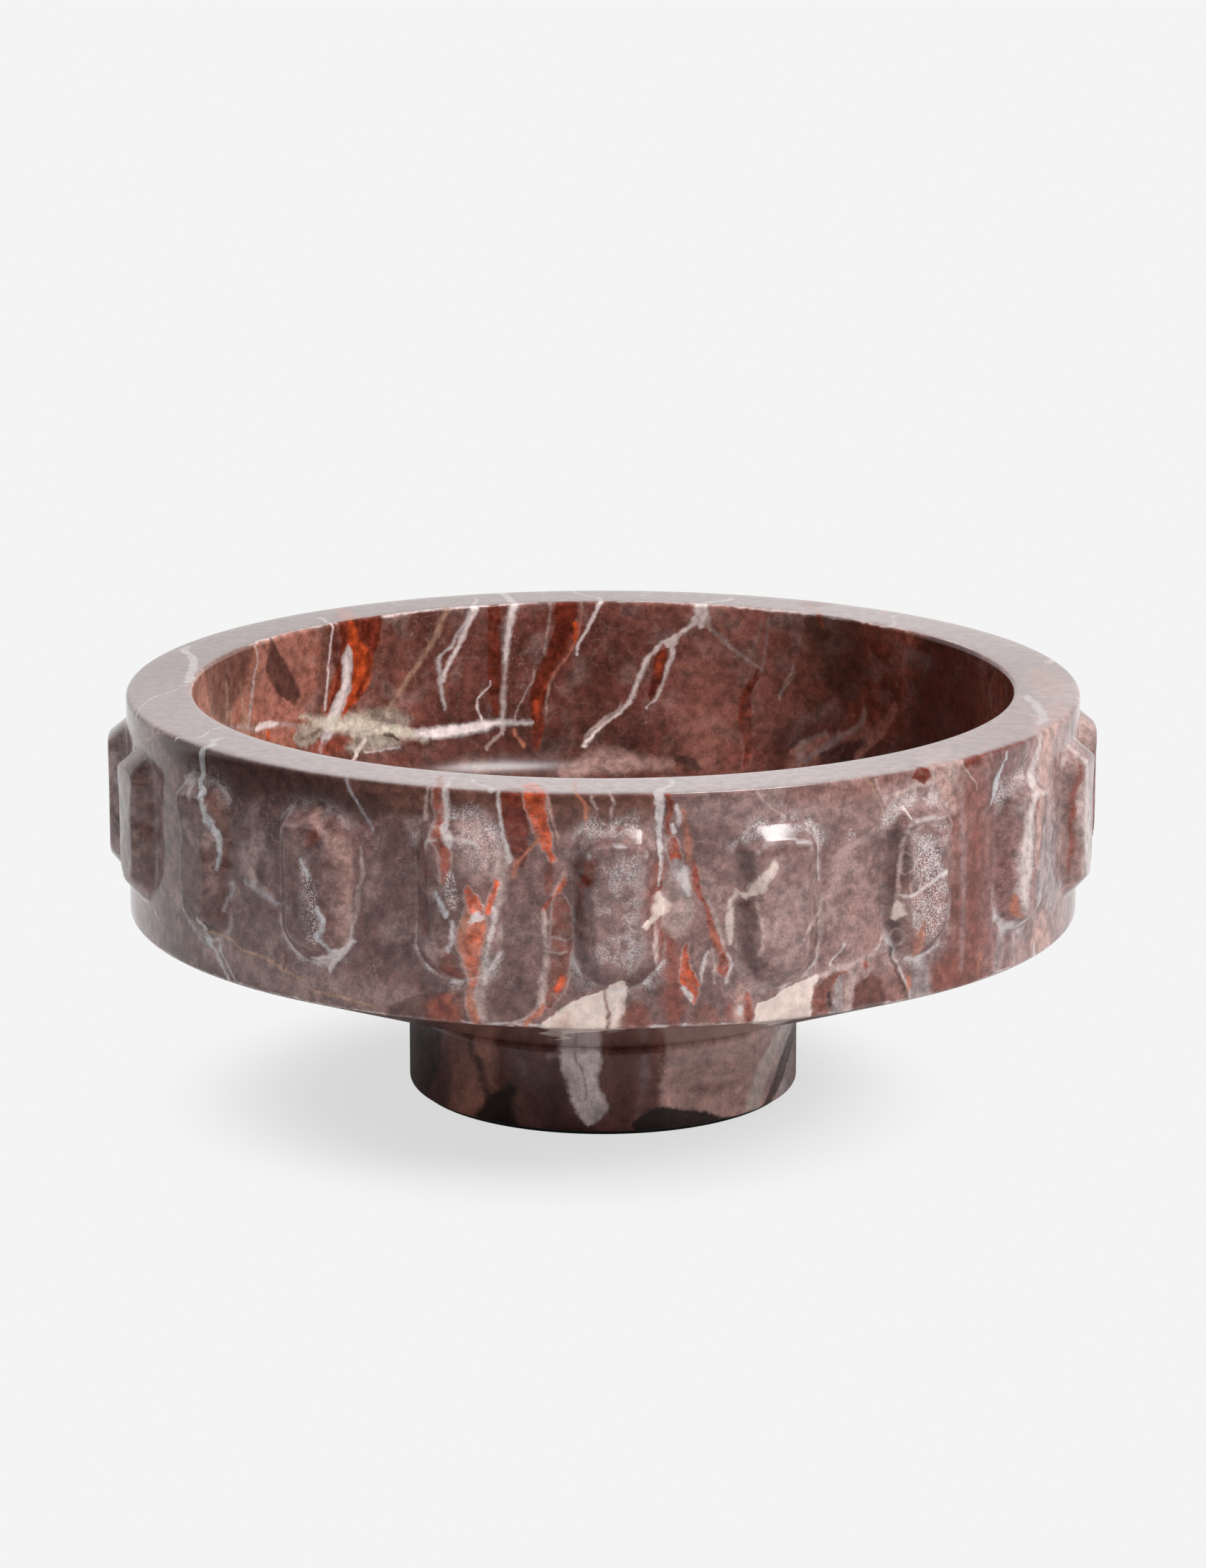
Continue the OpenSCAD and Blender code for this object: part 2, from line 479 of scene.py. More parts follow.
def make_foot():
    """The drum foot, with its rounded lower edge, its bead at the joint and the hole for the dowel."""
    low, high = FOOT_Z, FOOT_TOP_Z
    lip_z = LAND_Z - LIP_GAP
    lip_r = FOOT_R - LIP_W
    round_z = low + FOOT_ROUND
    points = [(HOLE_R + FOOT_HOLE_CLEAR, low), (FOOT_R * FOOT_MIDDLE, low)]
    points += arc(FOOT_R - FOOT_ROUND, round_z, FOOT_ROUND, -90, 0, FOOT_ROUND_RINGS)
    points += line((FOOT_R, round_z), (FOOT_R, high), FOOT_RINGS)[1:-1]
    points += [(FOOT_R, lip_z), (lip_r, lip_z), (lip_r, high)]
    points += [(HOLE_R, high), (HOLE_R, high - FOOT_HOLE_DEPTH)]
    azimuth = np.linspace(0, 360, PLAIN // 2, endpoint=False)
    rings = [ring(azimuth, np.full(len(azimuth), r), z) for r, z in points]
    piece = lathe("foot_stone", rings, (0, 0, low), (0, 0, high - FOOT_HOLE_DEPTH))
    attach(piece, "root")
    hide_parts("foot")
    return piece


bowl = make_bowl()
foot = make_foot()

# Colours of the stone, linear
WHITE = (0.58, 0.51, 0.50)
BRIGHT = (0.94, 0.79, 0.76)
FROST = (0.68, 0.62, 0.61)
ROSE_WHITE = (0.55, 0.44, 0.415)
BLUE_WHITE = (0.46, 0.445, 0.46)
LILAC = (0.34, 0.29, 0.305)
CREAM = (0.72, 0.585, 0.525)
SAND = (0.78, 0.70, 0.56)
GLAZE = (0.45, 0.42, 0.345)
PALE_PINK = (0.43, 0.31, 0.285)
DUSTY_PINK = (0.33, 0.215, 0.20)
SALMON = (0.44, 0.26, 0.225)
CLAY = (0.39, 0.155, 0.118)
TAN = (0.40, 0.24, 0.17)
ORANGE = (0.52, 0.075, 0.020)
SOFT_ORANGE = (0.40, 0.14, 0.085)
RED = (0.27, 0.052, 0.028)
BROWN_RED = (0.19, 0.055, 0.038)
DARK_RED = (0.16, 0.026, 0.013)
MAROON = (0.08, 0.016, 0.010)
RUST = (0.13, 0.055, 0.042)
UMBER = (0.085, 0.036, 0.028)
DARK = (0.055, 0.024, 0.019)
BLACK = (0.025, 0.014, 0.013)
GREY = (0.30, 0.245, 0.24)
CONE_BROWN = (0.13, 0.055, 0.043)

# Veins that are drawn by chance, at the back of the outside, the front of the inside and below: colours, half
# widths, degrees by which they stray at each point, ranges of swelling and cover, sharpest edge and points
STREWN = (WHITE, PALE_PINK, SALMON, SOFT_ORANGE, RED, BROWN_RED, DARK_RED, UMBER, LILAC, CREAM)
STREWN_HALVES = (0.5, 0.9, 2.0, 5.0)
STREWN_STRAY = 0.9
STREWN_SWELL = (0.4, 1.3)
STREWN_COVER = (0.6, 0.95)
STREWN_EDGE = 0.6
STREWN_POINTS = 7

# Least length of such a vein, and how far it may run past the stretch where it is drawn
STREWN_LENGTH = 18
STREWN_PAST = 12

Layer = namedtuple("Layer", "colour points edge halo cover grain level")


def vein(colour, *points, edge=0.8, halo=0.0, cover=0.95, grain=False):
    """A vein, patch or painted shade that runs up and down, by points of (height, azimuth, half width)."""
    return Layer(colour, points, edge, halo, cover, grain, level=False)


def band(colour, *points, **looks):
    """A vein, patch or painted highlight that runs round the stone, by points of (azimuth, height, half
    width).
    """
    return vein(colour, *points, **looks)._replace(level=True)


def strewn_veins(seed, count, low, high, bottom, top):
    """Veins and patches drawn by chance between two azimuths and two heights."""
    draw = np.random.default_rng(seed)
    veins = []
    for _ in range(count):
        colour = STREWN[draw.integers(len(STREWN))]
        turn, lean = draw.uniform(low, high), draw.normal(0, STREWN_STRAY)
        start, end = np.sort(draw.uniform(bottom - STREWN_PAST, top + STREWN_PAST, 2))
        half = draw.choice(STREWN_HALVES)
        points = []
        for height in np.linspace(start, max(end, start + STREWN_LENGTH), STREWN_POINTS):
            points.append((height, turn, half * draw.uniform(*STREWN_SWELL)))
            turn += lean + draw.normal(0, STREWN_STRAY)
        veins.append(vein(colour, *points, edge=STREWN_EDGE + half / 2, cover=draw.uniform(*STREWN_COVER)))
    return veins


# Veins of the outer wall by height, in groups round the bowl, with painted shade and highlights among them
OUTER_VEINS = {
    "edges": [
        # Painted highlight: a pale line along the rounded lower edge of the wall
        band(WHITE, (-98, 60.8, 0.1), (-50, 60.9, 0.15), (-25, 60.9, 0.35), (-10, 61.0, 0.5),
             (40, 60.9, 0.4), (98, 60.8, 0.35), edge=0.5, cover=0.8),
        band(DUSTY_PINK, (-52, 68, 3), (-42, 67.5, 5), (-34, 66.5, 5.5), (-27, 66, 5), (-22, 67, 3),
             edge=4, cover=0.55),
        band(BROWN_RED, (26, 64, 3), (33, 65, 5), (40, 65, 5), (46, 65, 3), edge=4, cover=0.35),
        band(DARK, (-62, 126.5, 3), (-48, 125.5, 6), (-30, 126, 6), (-20, 127, 4), edge=4),
        band(RUST, (-24, 126, 3.5), (-12, 126, 5), (0, 125.6, 6.4), (6, 127, 4), edge=3, cover=0.92),
        band(RUST, (-30, 128, 1.5), (-18, 128.4, 1.4), (-5, 128.5, 1.2), (3, 128.6, 0.6), edge=1.4),
        band(BLUE_WHITE, (-84, 100, 3), (-78, 102, 12), (-73, 102, 12), (-70, 102, 4), edge=4, cover=0.3),
        band(RUST, (-88, 66, 3), (-80, 66, 5), (-73, 66, 4), edge=4, cover=0.4),
        band(DUSTY_PINK, (9, 125, 2.5), (15, 125, 4.5), (21, 125, 4), (26, 126, 2), edge=3, cover=0.42),
        band(BROWN_RED, (22, 127, 2.5), (32, 127, 3), (42, 126.5, 3), (50, 127, 2), edge=4, cover=0.4),
    ],
    "left": [
        # Rust brown down the right bevel of the lug at -70 degrees, with painted shade of that bevel
        vein(RUST, (118, -67, 1.5), (112, -66.2, 1.8), (100, -66.2, 1.8), (88, -66.1, 1.8),
             (78, -66.3, 1.6), (74, -67.5, 1), edge=1.2, cover=0.6),
        band(TAN, (-73, 122, 0.3), (-68, 125.5, 0.4), (-64, 128.8, 0.4), (-60, 130.4, 0.35)),
        vein(PALE_PINK, (72.8, -66.5, 0.5), (71.5, -66, 0.9), (70, -65.4, 0.5)),
        vein(RUST, (118, -48.8, 2), (112, -48, 2.2), (105, -48, 1.6), (97, -48.2, 1.3), (90, -48.3, 1),
             (82, -48.4, 1), edge=1.2, cover=0.85),
        band(GREY, (-56.7, 119.5, 0.7), (-55, 120, 0.9), (-53, 118.7, 1.1), (-52, 116, 0.5), edge=1),
        vein(GREY, (122, -49.7, 0.6), (120.6, -48.9, 0.8), (118.5, -48, 0.8), (116, -47.5, 0.4)),
        vein(BLUE_WHITE, (140, -55.5, 1.4), (131, -52.7, 1.3), (128, -52.9, 1.5), (125, -52.7, 1.4),
             (121, -52.4, 1.2), (119.5, -51.3, 1.4), (117, -50.2, 1.2), (113, -49.5, 1.1), (109, -49.1, 1),
             (105, -48.6, 0.8), (101, -48.5, 0.5), (96, -48.5, 0.25), edge=0.6),
        vein(LILAC, (92, -47.2, 0.6), (87, -47.8, 0.5), (83, -48.2, 0.3)),
        band(LILAC, (-56.3, 74.8, 0.5), (-55, 72.5, 0.6), (-53.5, 70.5, 0.8), (-52, 70, 0.6)),
        vein(BLUE_WHITE, (80, -51.2, 0.3), (77, -50.8, 0.6), (74, -51.4, 0.9), (71.5, -52, 1.5),
             (69.5, -50.9, 1.1), (66, -49.8, 0.9), (62, -48.6, 0.7), (60, -48.2, 0.5), edge=0.7),
        vein(BLUE_WHITE, (71, -50, 0.4), (67, -48.9, 0.5), (62, -47.1, 0.6), (60, -46.6, 0.3)),
        vein(BLACK, (78, -50.4, 0.5), (76.5, -50, 0.9), (75.2, -50.5, 0.5)),
        band(TAN, (-54, 75.3, 0.3), (-50, 74.6, 0.4), (-45, 72, 0.4), (-42, 70.9, 0.45), (-40, 70, 0.5),
             (-38, 69, 0.45), (-36, 67.2, 0.45), (-34.7, 64.8, 0.45), (-32, 64.2, 0.5), (-29, 63.9, 0.45),
             (-27, 63.2, 0.4), (-26, 61.5, 0.4), (-25, 60.2, 0.3), edge=0.4),
        vein(DUSTY_PINK, (105, -43, 1.5), (101, -44.2, 2.5), (95, -43.6, 2.2), (91.5, -41, 1.6), edge=2,
             cover=0.7),
        vein(PALE_PINK, (108, -43.3, 1), (104, -44.8, 3), (97, -44.6, 3.4), (93, -42.8, 2.4),
             (88, -40.8, 0.8), edge=2.5, cover=0.5),
        vein(DARK, (100, -42.6, 1.2), (97, -42.4, 2.4), (94, -42.2, 1.2), edge=1.5, cover=0.6),
        band(LILAC, (-45, 93.5, 1), (-43, 92, 1.2), (-41, 90, 1.2), (-39.5, 88.5, 0.5), edge=1.2),
        vein(RUST, (81, -39, 0.4), (74, -38.7, 0.6), (70, -38.9, 0.4), cover=0.8),
        vein(LILAC, (144, -33, 0.4), (131, -29.9, 0.45), (127, -29.2, 0.55), (122, -27.8, 0.5),
             (115, -26.4, 0.25)),
    ],
    "third_left": [
        vein(SALMON, (119, -33.3, 1.6), (115, -32, 2.2), (109, -29.9, 2.2), (101, -29.6, 1.2),
             (90, -29.8, 1.2), (80, -30, 0.7), edge=1.8, cover=0.55),
        vein(DARK_RED, (115, -32.6, 0.8), (112.5, -32.7, 2), (110.5, -33.2, 1), edge=1.2, cover=0.8),
        vein(WHITE, (106, -34.2, 0.6), (100, -33.7, 1.8), (95, -33.6, 2.6), (88, -33.6, 2.8),
             (82, -33, 1.8), edge=1.5, grain=True),
        vein(BLACK, (104, -35, 0.6), (98, -34.6, 1.6), (90, -34.5, 2.2), (84, -34, 1.5), edge=1.5,
             grain=True, cover=0.7),
        vein(BLUE_WHITE, (92, -32.4, 0.7), (89, -32, 1), (86, -31.8, 0.8), (83, -32.5, 1.1),
             (80, -32, 0.6), (77, -31.7, 0.5), cover=0.85),
        vein(BLUE_WHITE, (105.5, -34.3, 0.4), (103, -33.9, 0.6), (100.5, -33.5, 0.4)),
        vein(PALE_PINK, (110, -27.9, 0.3), (104, -27.7, 0.7), (98, -28.2, 0.6), (94, -28.6, 0.9),
             (89, -28.9, 0.5), (84, -29.4, 0.4), edge=0.7),
        vein(SOFT_ORANGE, (76, -33.5, 0.6), (74.4, -33.2, 1.4), (73.4, -32.4, 0.7), cover=0.6),
        band(WHITE, (-34.5, 75, 0.4), (-32.5, 76, 0.8), (-31, 77, 1.5), (-30, 79, 1), (-29, 81.5, 0.4)),
        vein(WHITE, (78, -31.1, 0.8), (74.5, -31.8, 1), (71.5, -32.3, 0.5)),
    ],
    "second_left": [
        vein(UMBER, (60, -20.5, 11.5), (63, -20.5, 10.5), (66, -20, 7.5), (68, -18.5, 5), (70, -16.5, 2),
             edge=1.6, cover=0.7),
        vein(RED, (60, -18, 5), (64, -18, 5), (68, -17.6, 3), (70, -16.7, 1), edge=3, cover=0.65),
        vein(DUSTY_PINK, (122, -14, 4.5), (118, -13.8, 5.5), (112, -13.5, 4.5), (106, -13.2, 2.5), edge=3,
             cover=0.65),
        vein(WHITE, (126, -14.6, 1.5), (120, -14, 4), (114, -13.6, 4.5), (110, -13.2, 2), edge=2.5,
             grain=True, cover=0.6),
        vein(RED, (143, -20, 0.6), (131, -18.5, 1.2), (126, -18.4, 1.6), (121, -18.2, 1.2),
             (117, -18, 1.6), (113, -17, 1.8), (109, -17, 1.5), (104, -17.2, 0.8), edge=0.9, halo=0.8,
             cover=0.9),
        vein(WHITE, (143, -18.6, 0.6), (131, -17.7, 0.7), (127, -17.5, 0.9), (122, -17.5, 0.6),
             (118, -16.9, 1.3), (115, -16.3, 0.6), cover=0.85),
        vein(PALE_PINK, (131, -19.7, 0.5), (126, -19.9, 0.4), (121, -20, 0.5)),
        vein(PALE_PINK, (112, -11, 2), (106, -11.5, 1.8), (100, -11.3, 1.2), (94, -12, 0.7), edge=1.2,
             cover=0.85),
        vein(DARK_RED, (131, -9.9, 3.8), (125, -9.8, 3.6), (120, -9.6, 3.2), (115, -9.4, 2.8),
             (110.5, -9.2, 1.6), (108.5, -9.2, 0.3)),
        vein(WHITE, (131, -11.6, 0.4), (122, -11.3, 0.45), (114, -10.8, 0.7), (110.5, -10.6, 0.8),
             edge=0.7),
        vein(ORANGE, (140, -8.6, 2), (131, -7.6, 2.7), (127, -7.6, 2.6), (122, -7.2, 2.3), (118, -6.6, 2),
             (114, -6.1, 1), (110.5, -5.6, 0.5), edge=0.7, halo=0.5),
        vein(SOFT_ORANGE, (118, -7.2, 0.6), (115, -7.8, 0.8), (112, -8.8, 0.6), (110, -9.6, 0.7),
             (106, -10, 0.6)),
        vein(SALMON, (129, -6.3, 0.5), (122, -5.6, 0.4), (116, -5, 0.25)),
        vein(BLUE_WHITE, (101, -18, 0.4), (97, -17.4, 0.9), (94, -16.9, 0.5)),
        vein(WHITE, (107, -16.4, 1.2), (101, -16.2, 1.9), (97, -16, 0.8), edge=1, grain=True),
        vein(BROWN_RED, (83, -16.5, 1.5), (80, -17, 2.7), (77, -17, 2.5), (75, -16.3, 1.2), edge=1.2),
        vein(PALE_PINK, (82, -14.1, 2.2), (78, -14.1, 2.8), (74, -13.9, 3.2), (71, -13.9, 2.4),
             (66, -14.3, 2.4), (60, -14, 2.2), edge=1.5, cover=0.8),
        vein(SOFT_ORANGE, (96.5, -13.8, 2), (93, -14, 3.1), (90, -14.2, 3.4), (86, -14.3, 3),
             (82, -14.2, 2.2), (78, -14.3, 1.5), (74, -14.6, 1.2), (70, -14.9, 1.2), (65, -14.7, 1.3),
             (60, -14.3, 1.3), halo=0.6),
        vein(ORANGE, (93, -13.6, 1.5), (88, -13.9, 2.2), (83, -14.1, 1.8), (78, -14.2, 1.2),
             (73, -14.5, 0.8), edge=1.5, cover=0.5),
        vein(ORANGE, (103, -14.3, 0.6), (99.5, -14, 1.5), (96, -13.7, 1.3), (93.5, -13.4, 0.6), edge=0.6,
             halo=0.5),
        vein(ORANGE, (105, -11.8, 0.25), (101, -12, 0.8), (97.5, -12.4, 0.8), (95, -12.6, 0.5), edge=0.6,
             halo=0.4),
        vein(WHITE, (95.5, -13.6, 0.7), (93.6, -13.5, 1.6), (92.8, -14.1, 0.7)),
        vein(WHITE, (96, -12.1, 0.4), (90, -12.2, 0.55), (84, -12.6, 0.45), (78, -13, 0.6),
             (73, -13.3, 0.5), cover=0.85),
        vein(WHITE, (93, -16.1, 0.4), (88, -16.1, 0.7), (84.5, -16.5, 0.8), cover=0.8),
        vein(BROWN_RED, (109.5, -5.9, 0.8), (104, -6, 1.1), (101, -6, 0.4)),
        vein(SALMON, (106, -4.5, 1), (103, -4.8, 0.9), (100, -5.3, 0.6)),
        vein(ORANGE, (105, -4.4, 0.5), (102, -4.8, 0.6), (99.5, -5.5, 0.55), (97.5, -6.1, 0.5),
             (95.5, -6.4, 0.3)),
        vein(BROWN_RED, (100, -4.7, 1.4), (94, -4.5, 2.5), (88, -4.5, 3), (83, -4.8, 3), (78, -5, 2.8),
             (72, -5.4, 2.4), (67, -6, 1), halo=0.5),
        vein(ORANGE, (77, -4.6, 0.5), (74.5, -4.7, 1.2), (72, -5.2, 0.7)),
        band(PALE_PINK, (-6.6, 83.6, 0.25), (-5, 83.3, 0.3), (-4.1, 83.8, 0.25)),
        band(PALE_PINK, (-5.6, 88, 0.25), (-4, 87.3, 0.25), (-3.4, 88, 0.2)),
        vein(PALE_PINK, (96, -6.4, 0.4), (90, -6.4, 0.8), (85, -6.3, 0.5), (80, -6.5, 0.6),
             (74, -6.8, 0.7), (68, -6.8, 1.1), (65, -7.3, 1.4), (62, -9.5, 1.5), (60, -10.5, 1)),
        vein(SOFT_ORANGE, (67, -6.6, 0.5), (64.5, -7.3, 1.3), (62, -8.4, 1.1), (60, -8.8, 0.6), edge=0.9),
        vein(SOFT_ORANGE, (145, -3.2, 0.7), (131, -2.9, 0.6), (128, -2, 0.7), (124, -1.8, 0.5),
             (120, -1.8, 0.3)),
        # Painted shade on the left bevel of the lug at 1.9 degrees, which is turned away from the key light
        vein(DARK, (115, -2.4, 0.8), (108, -2.6, 1.5), (95, -2.6, 1.8), (84, -2.2, 1.6), (76, -0.8, 0.8),
             edge=2, cover=0.45),
        vein(DARK_RED, (113, -1, 0.7), (109.5, -1.4, 1.7), (106, -1.8, 1.9), (103.5, -2.2, 0.7)),
        vein(PALE_PINK, (130, -1.3, 0.4), (127.5, -0.9, 0.4), (126, -0.5, 0.3)),
        vein(BROWN_RED, (126, -0.7, 0.3), (124, -0.4, 0.4), (121.5, -0.4, 0.3)),
        vein(CREAM, (60, -2.2, 12), (64, -1.6, 10.3), (67, -1, 8.8), (70, 0.2, 6.2), (72, 1.3, 3.5),
             (74, 1.7, 2.2), (75.5, 1.9, 0.8), edge=0.7),
        vein(PALE_PINK, (60, 1.9, 1.6), (65, 2.2, 0.9), (70, 2.3, 0.7), edge=1.2, cover=0.7),
        vein(SOFT_ORANGE, (60, -4.5, 3), (62.5, -4.5, 2.2), (65, -4, 1), edge=2, cover=0.35),
        vein(BROWN_RED, (60, 0.5, 0.6), (64, 0.55, 0.4), (68, 0.3, 0.35), (72, 0.1, 0.25)),
    ],
    "middle": [
        vein(PALE_PINK, (135, 0.4, 0.3), (131, 0.7, 0.4), (128, 1.1, 0.35), (124, 1.05, 0.3),
             (120, 1, 0.25)),
        vein(BROWN_RED, (66.5, 3.8, 3), (63, 3.5, 4), (60, 3.5, 4), edge=1.5, cover=0.85),
        vein(BROWN_RED, (66, 11.5, 2), (63, 11.5, 4), (60, 11.5, 4.5), edge=2, cover=0.6),
        vein(RED, (110, 5.8, 1), (104, 6, 3), (98, 6.4, 4), (92, 6.9, 4.5), (86, 7.3, 4.5), (80, 7.6, 4),
             (74, 7.8, 3.2), (66, 8, 3), edge=3, cover=0.45),
        vein(BROWN_RED, (90, 7.5, 1.2), (80, 7.7, 1.6), (70, 7.9, 1.8), (60, 8, 2), edge=1.2, cover=0.8),
        vein(DUSTY_PINK, (100, 6, 2), (94, 8.5, 3), (88, 8.7, 2), edge=2, cover=0.7),
        vein(WHITE, (146, 8.6, 0.5), (139, 8, 1), (131, 6.3, 1.5), (128, 6.4, 1.5), (122, 6.3, 0.9),
             (116, 6.2, 0.6), (110, 6.1, 0.45), (104, 6, 0.35), edge=0.6),
        vein(RED, (130, 7.4, 0.7), (126, 7.6, 0.7), (123, 7.3, 0.5), (119, 7.3, 0.5), edge=0.7),
        vein(SOFT_ORANGE, (125, 9, 0.7), (120, 9.2, 0.9), (115, 9.4, 1), (110, 9.4, 0.5), edge=1.2,
             cover=0.7),
        vein(RED, (117.5, 7.8, 0.8), (115, 7.7, 1.6), (112, 7.9, 1.9), (109.5, 7.8, 1.2), edge=0.7,
             halo=0.5),
        vein(ORANGE, (116, 7.9, 0.5), (113.5, 7.9, 1.1), (111, 7.9, 0.7), edge=1, cover=0.6),
        vein(WHITE, (126.5, 8.2, 0.6), (123, 8.6, 0.8), (121.5, 8.5, 0.4), cover=0.8),
        vein(WHITE, (121.5, 7.8, 0.4), (119.7, 7.8, 0.6), (118.8, 7.8, 0.3)),
        vein(PALE_PINK, (108, 8.2, 2.2), (103, 8.2, 4), (98, 8, 4.5), (93, 7.8, 4), (89, 8, 1.5), edge=2,
             cover=0.6),
        vein(GREY, (110, 8, 1.8), (107, 8.3, 2.2), (104, 8.8, 1.4), (100, 9, 0.5), edge=1),
        vein(WHITE, (109, 8.9, 0.6), (106, 8.7, 1.6), (103, 9.2, 1.2), (100, 9.4, 0.5), edge=1, cover=0.75),
        vein(WHITE, (106, 9.2, 0.4), (103.5, 9.2, 0.8), (101.5, 9, 0.4), edge=0.7, cover=0.8),
        vein(CREAM, (102, 6, 0.4), (99, 6.2, 1.8), (97.5, 6.3, 2.4), (95.5, 6.2, 2), (94, 5.3, 2),
             (92.5, 4.7, 0.8), edge=1.2),
        vein(PALE_PINK, (93, 5.8, 0.5), (88, 5.8, 0.7), (84, 5.7, 0.8), (80, 5.8, 0.4), edge=0.7),
        vein(PALE_PINK, (98, 9.5, 0.8), (95, 9.6, 1.1), (92, 9.5, 0.6), edge=1),
        vein(ORANGE, (86, 9.4, 0.2), (82, 9.3, 0.8), (79.5, 9.3, 1), (77, 9.4, 1.8), (74.5, 9.6, 2.2),
             (72, 10.1, 1.4), (69, 10.2, 0.7), (67, 10.1, 0.3), edge=0.6, halo=0.4),
        vein(WHITE, (73, 9, 0.3), (71, 9.3, 0.8), (69.5, 9.7, 1), (68, 9.9, 0.4)),
        vein(PALE_PINK, (98, 11.8, 0.6), (92, 12.5, 0.9), (87, 13.1, 0.7), (83, 13.4, 0.4), edge=1,
             cover=0.8),
        vein(RED, (110, 10, 0.5), (106, 10.3, 0.9), (103, 10.4, 1), (100, 10.8, 0.7), (96, 11.5, 0.8),
             (92, 11.9, 0.9), (88, 12.3, 0.9), (84.5, 12.7, 1), (82, 13.1, 0.8), edge=0.6),
        vein(SOFT_ORANGE, (90, 12.1, 0.5), (86, 12.5, 0.7), (83, 12.9, 0.5), cover=0.6),
        vein(RED, (82, 13.3, 0.8), (80, 13.4, 1.4), (77.5, 13.3, 1.6), (75.5, 13.5, 0.8), halo=0.4),
        vein(WHITE, (83, 11.7, 0.4), (80, 11.4, 0.5), (77, 11.1, 0.4), (74, 10.9, 0.3)),
        vein(PALE_PINK, (83, 12.2, 0.3), (78, 12.5, 0.4), (73.5, 12.4, 0.3)),
        vein(WHITE, (82, 13.9, 0.3), (80, 14.3, 0.4), (77.5, 14.1, 0.35), (73.5, 13.7, 0.3), cover=0.85),
        vein(SALMON, (71, 15.5, 1.5), (67, 15.6, 3.2), (64, 15.5, 3.4), (61, 15.6, 3), edge=1.5),
        vein(RED, (69, 16.2, 0.7), (66, 16.4, 1), (63, 16.5, 1.1), (61, 16.4, 0.7), edge=1),
        vein(RED, (67, 14.3, 0.8), (64.5, 14.2, 1), (62.5, 14.4, 0.6), edge=1.2, cover=0.7),
        vein(WHITE, (66, 15.4, 0.5), (64.8, 15.5, 0.8), (63.8, 15.5, 0.4)),
    ],
    "second_right": [
        vein(DUSTY_PINK, (99, 19.3, 4), (91, 19.3, 5), (82, 20.3, 5), edge=4, cover=0.5),
        vein(PALE_PINK, (129.5, 17.4, 0.3), (125, 18.9, 0.3), (121, 20.5, 0.25)),
        band(RUST, (16.5, 112.5, 0.6), (19.5, 112.6, 1.2), (23, 113.4, 0.6), edge=1, cover=0.6),
        # Painted shade on the left bevel of the lug at 19.9 degrees, in two stretches down to its lower
        # corner
        vein(DARK, (113, 15.7, 0.8), (109, 15.8, 1.5), (105, 16, 1.2), (101, 15.9, 0.6), edge=1.6,
             cover=0.55),
        vein(DARK, (98, 15.9, 0.8), (92, 16, 1.6), (86, 15.9, 1.6), (80, 16.2, 1.2), (75, 17.2, 0.6),
             edge=1.6, cover=0.6),
        vein(CREAM, (110, 18.4, 0.7), (107, 17.9, 1.8), (104, 17.2, 1.8), (101, 16.6, 1.4),
             (99.5, 15.7, 0.8), edge=0.9, cover=0.85),
        vein(CREAM, (100.2, 15, 0.6), (97, 14.4, 0.8), (91, 14.1, 1.3), (87, 14, 1), (84.5, 14.1, 0.3),
             cover=0.75),
        vein(PALE_PINK, (98, 16.7, 0.4), (93, 16.9, 0.5), (88, 17.1, 0.4), (82, 16.9, 0.3), edge=0.7),
        vein(PALE_PINK, (96.5, 19.6, 0.4), (92, 18.7, 0.6), (88, 18.5, 0.7), (85, 18.1, 0.4), edge=1,
             cover=0.75),
        band(PALE_PINK, (21.6, 86, 0.4), (22.2, 88.7, 0.7), (23.6, 90.7, 1), (24.6, 92.7, 0.7),
             (25, 96, 0.5)),
        vein(WHITE, (115.5, 23.9, 0.6), (112, 24.1, 0.6), (107, 24.4, 0.4), (102, 24.5, 0.2), cover=0.85),
        vein(PALE_PINK, (96, 24.9, 0.5), (90, 24.9, 0.7), (84, 24.8, 0.6), (79, 24.3, 0.4), edge=0.9,
             cover=0.8),
        vein(CREAM, (60, 20.6, 8.7), (64, 20.6, 8.4), (66.3, 20.6, 8.2), (67.4, 21.2, 6.8), (69, 22, 5),
             (70.5, 22.9, 3.6), (72, 23.9, 2), (73, 24.4, 0.8), edge=0.6),
        vein(PALE_PINK, (60, 21.5, 4.5), (62.5, 22, 3), (64.5, 22.5, 1), edge=3, cover=0.5),
    ],
    "between": [
        vein(DUSTY_PINK, (116, 33, 1.5), (113.5, 31.5, 2.5), (112, 30, 2.8), (109, 27.8, 2.8),
             (105, 26.7, 2), (100, 27, 1.6), (95, 26.2, 1.5), (90, 25.6, 0.8), edge=1.6, cover=0.9),
        vein(MAROON, (70, 31.5, 2), (66, 31.3, 5.2), (62, 31.3, 5.6), (60, 31.3, 5.6), edge=1.6, cover=0.7),
        vein(BROWN_RED, (60, 25, 2.6), (64, 24.8, 2.3), (67, 25, 2.3), (70, 25.7, 2.7), (72, 26.6, 2.2),
             (73, 28, 0.8)),
        vein(GREY, (70.5, 27.4, 1), (66, 27.3, 1.5), (62, 27.3, 1.8), (60, 27.3, 1.8), edge=0.9),
        vein(BLACK, (67.2, 26, 0.5), (65, 26.1, 0.9), (63.2, 26.2, 0.4)),
        vein(PALE_PINK, (71.5, 29.2, 1.2), (67, 28.8, 1.5), (63, 28.7, 1.5), (60, 28.7, 1.2), edge=1.2,
             cover=0.8),
        band(PALE_PINK, (25, 72.6, 0.7), (27, 74, 0.8), (29, 74.6, 1), (31, 75.8, 1.2), (32.5, 78, 1.2),
             (33.2, 81.5, 0.6), edge=0.9),
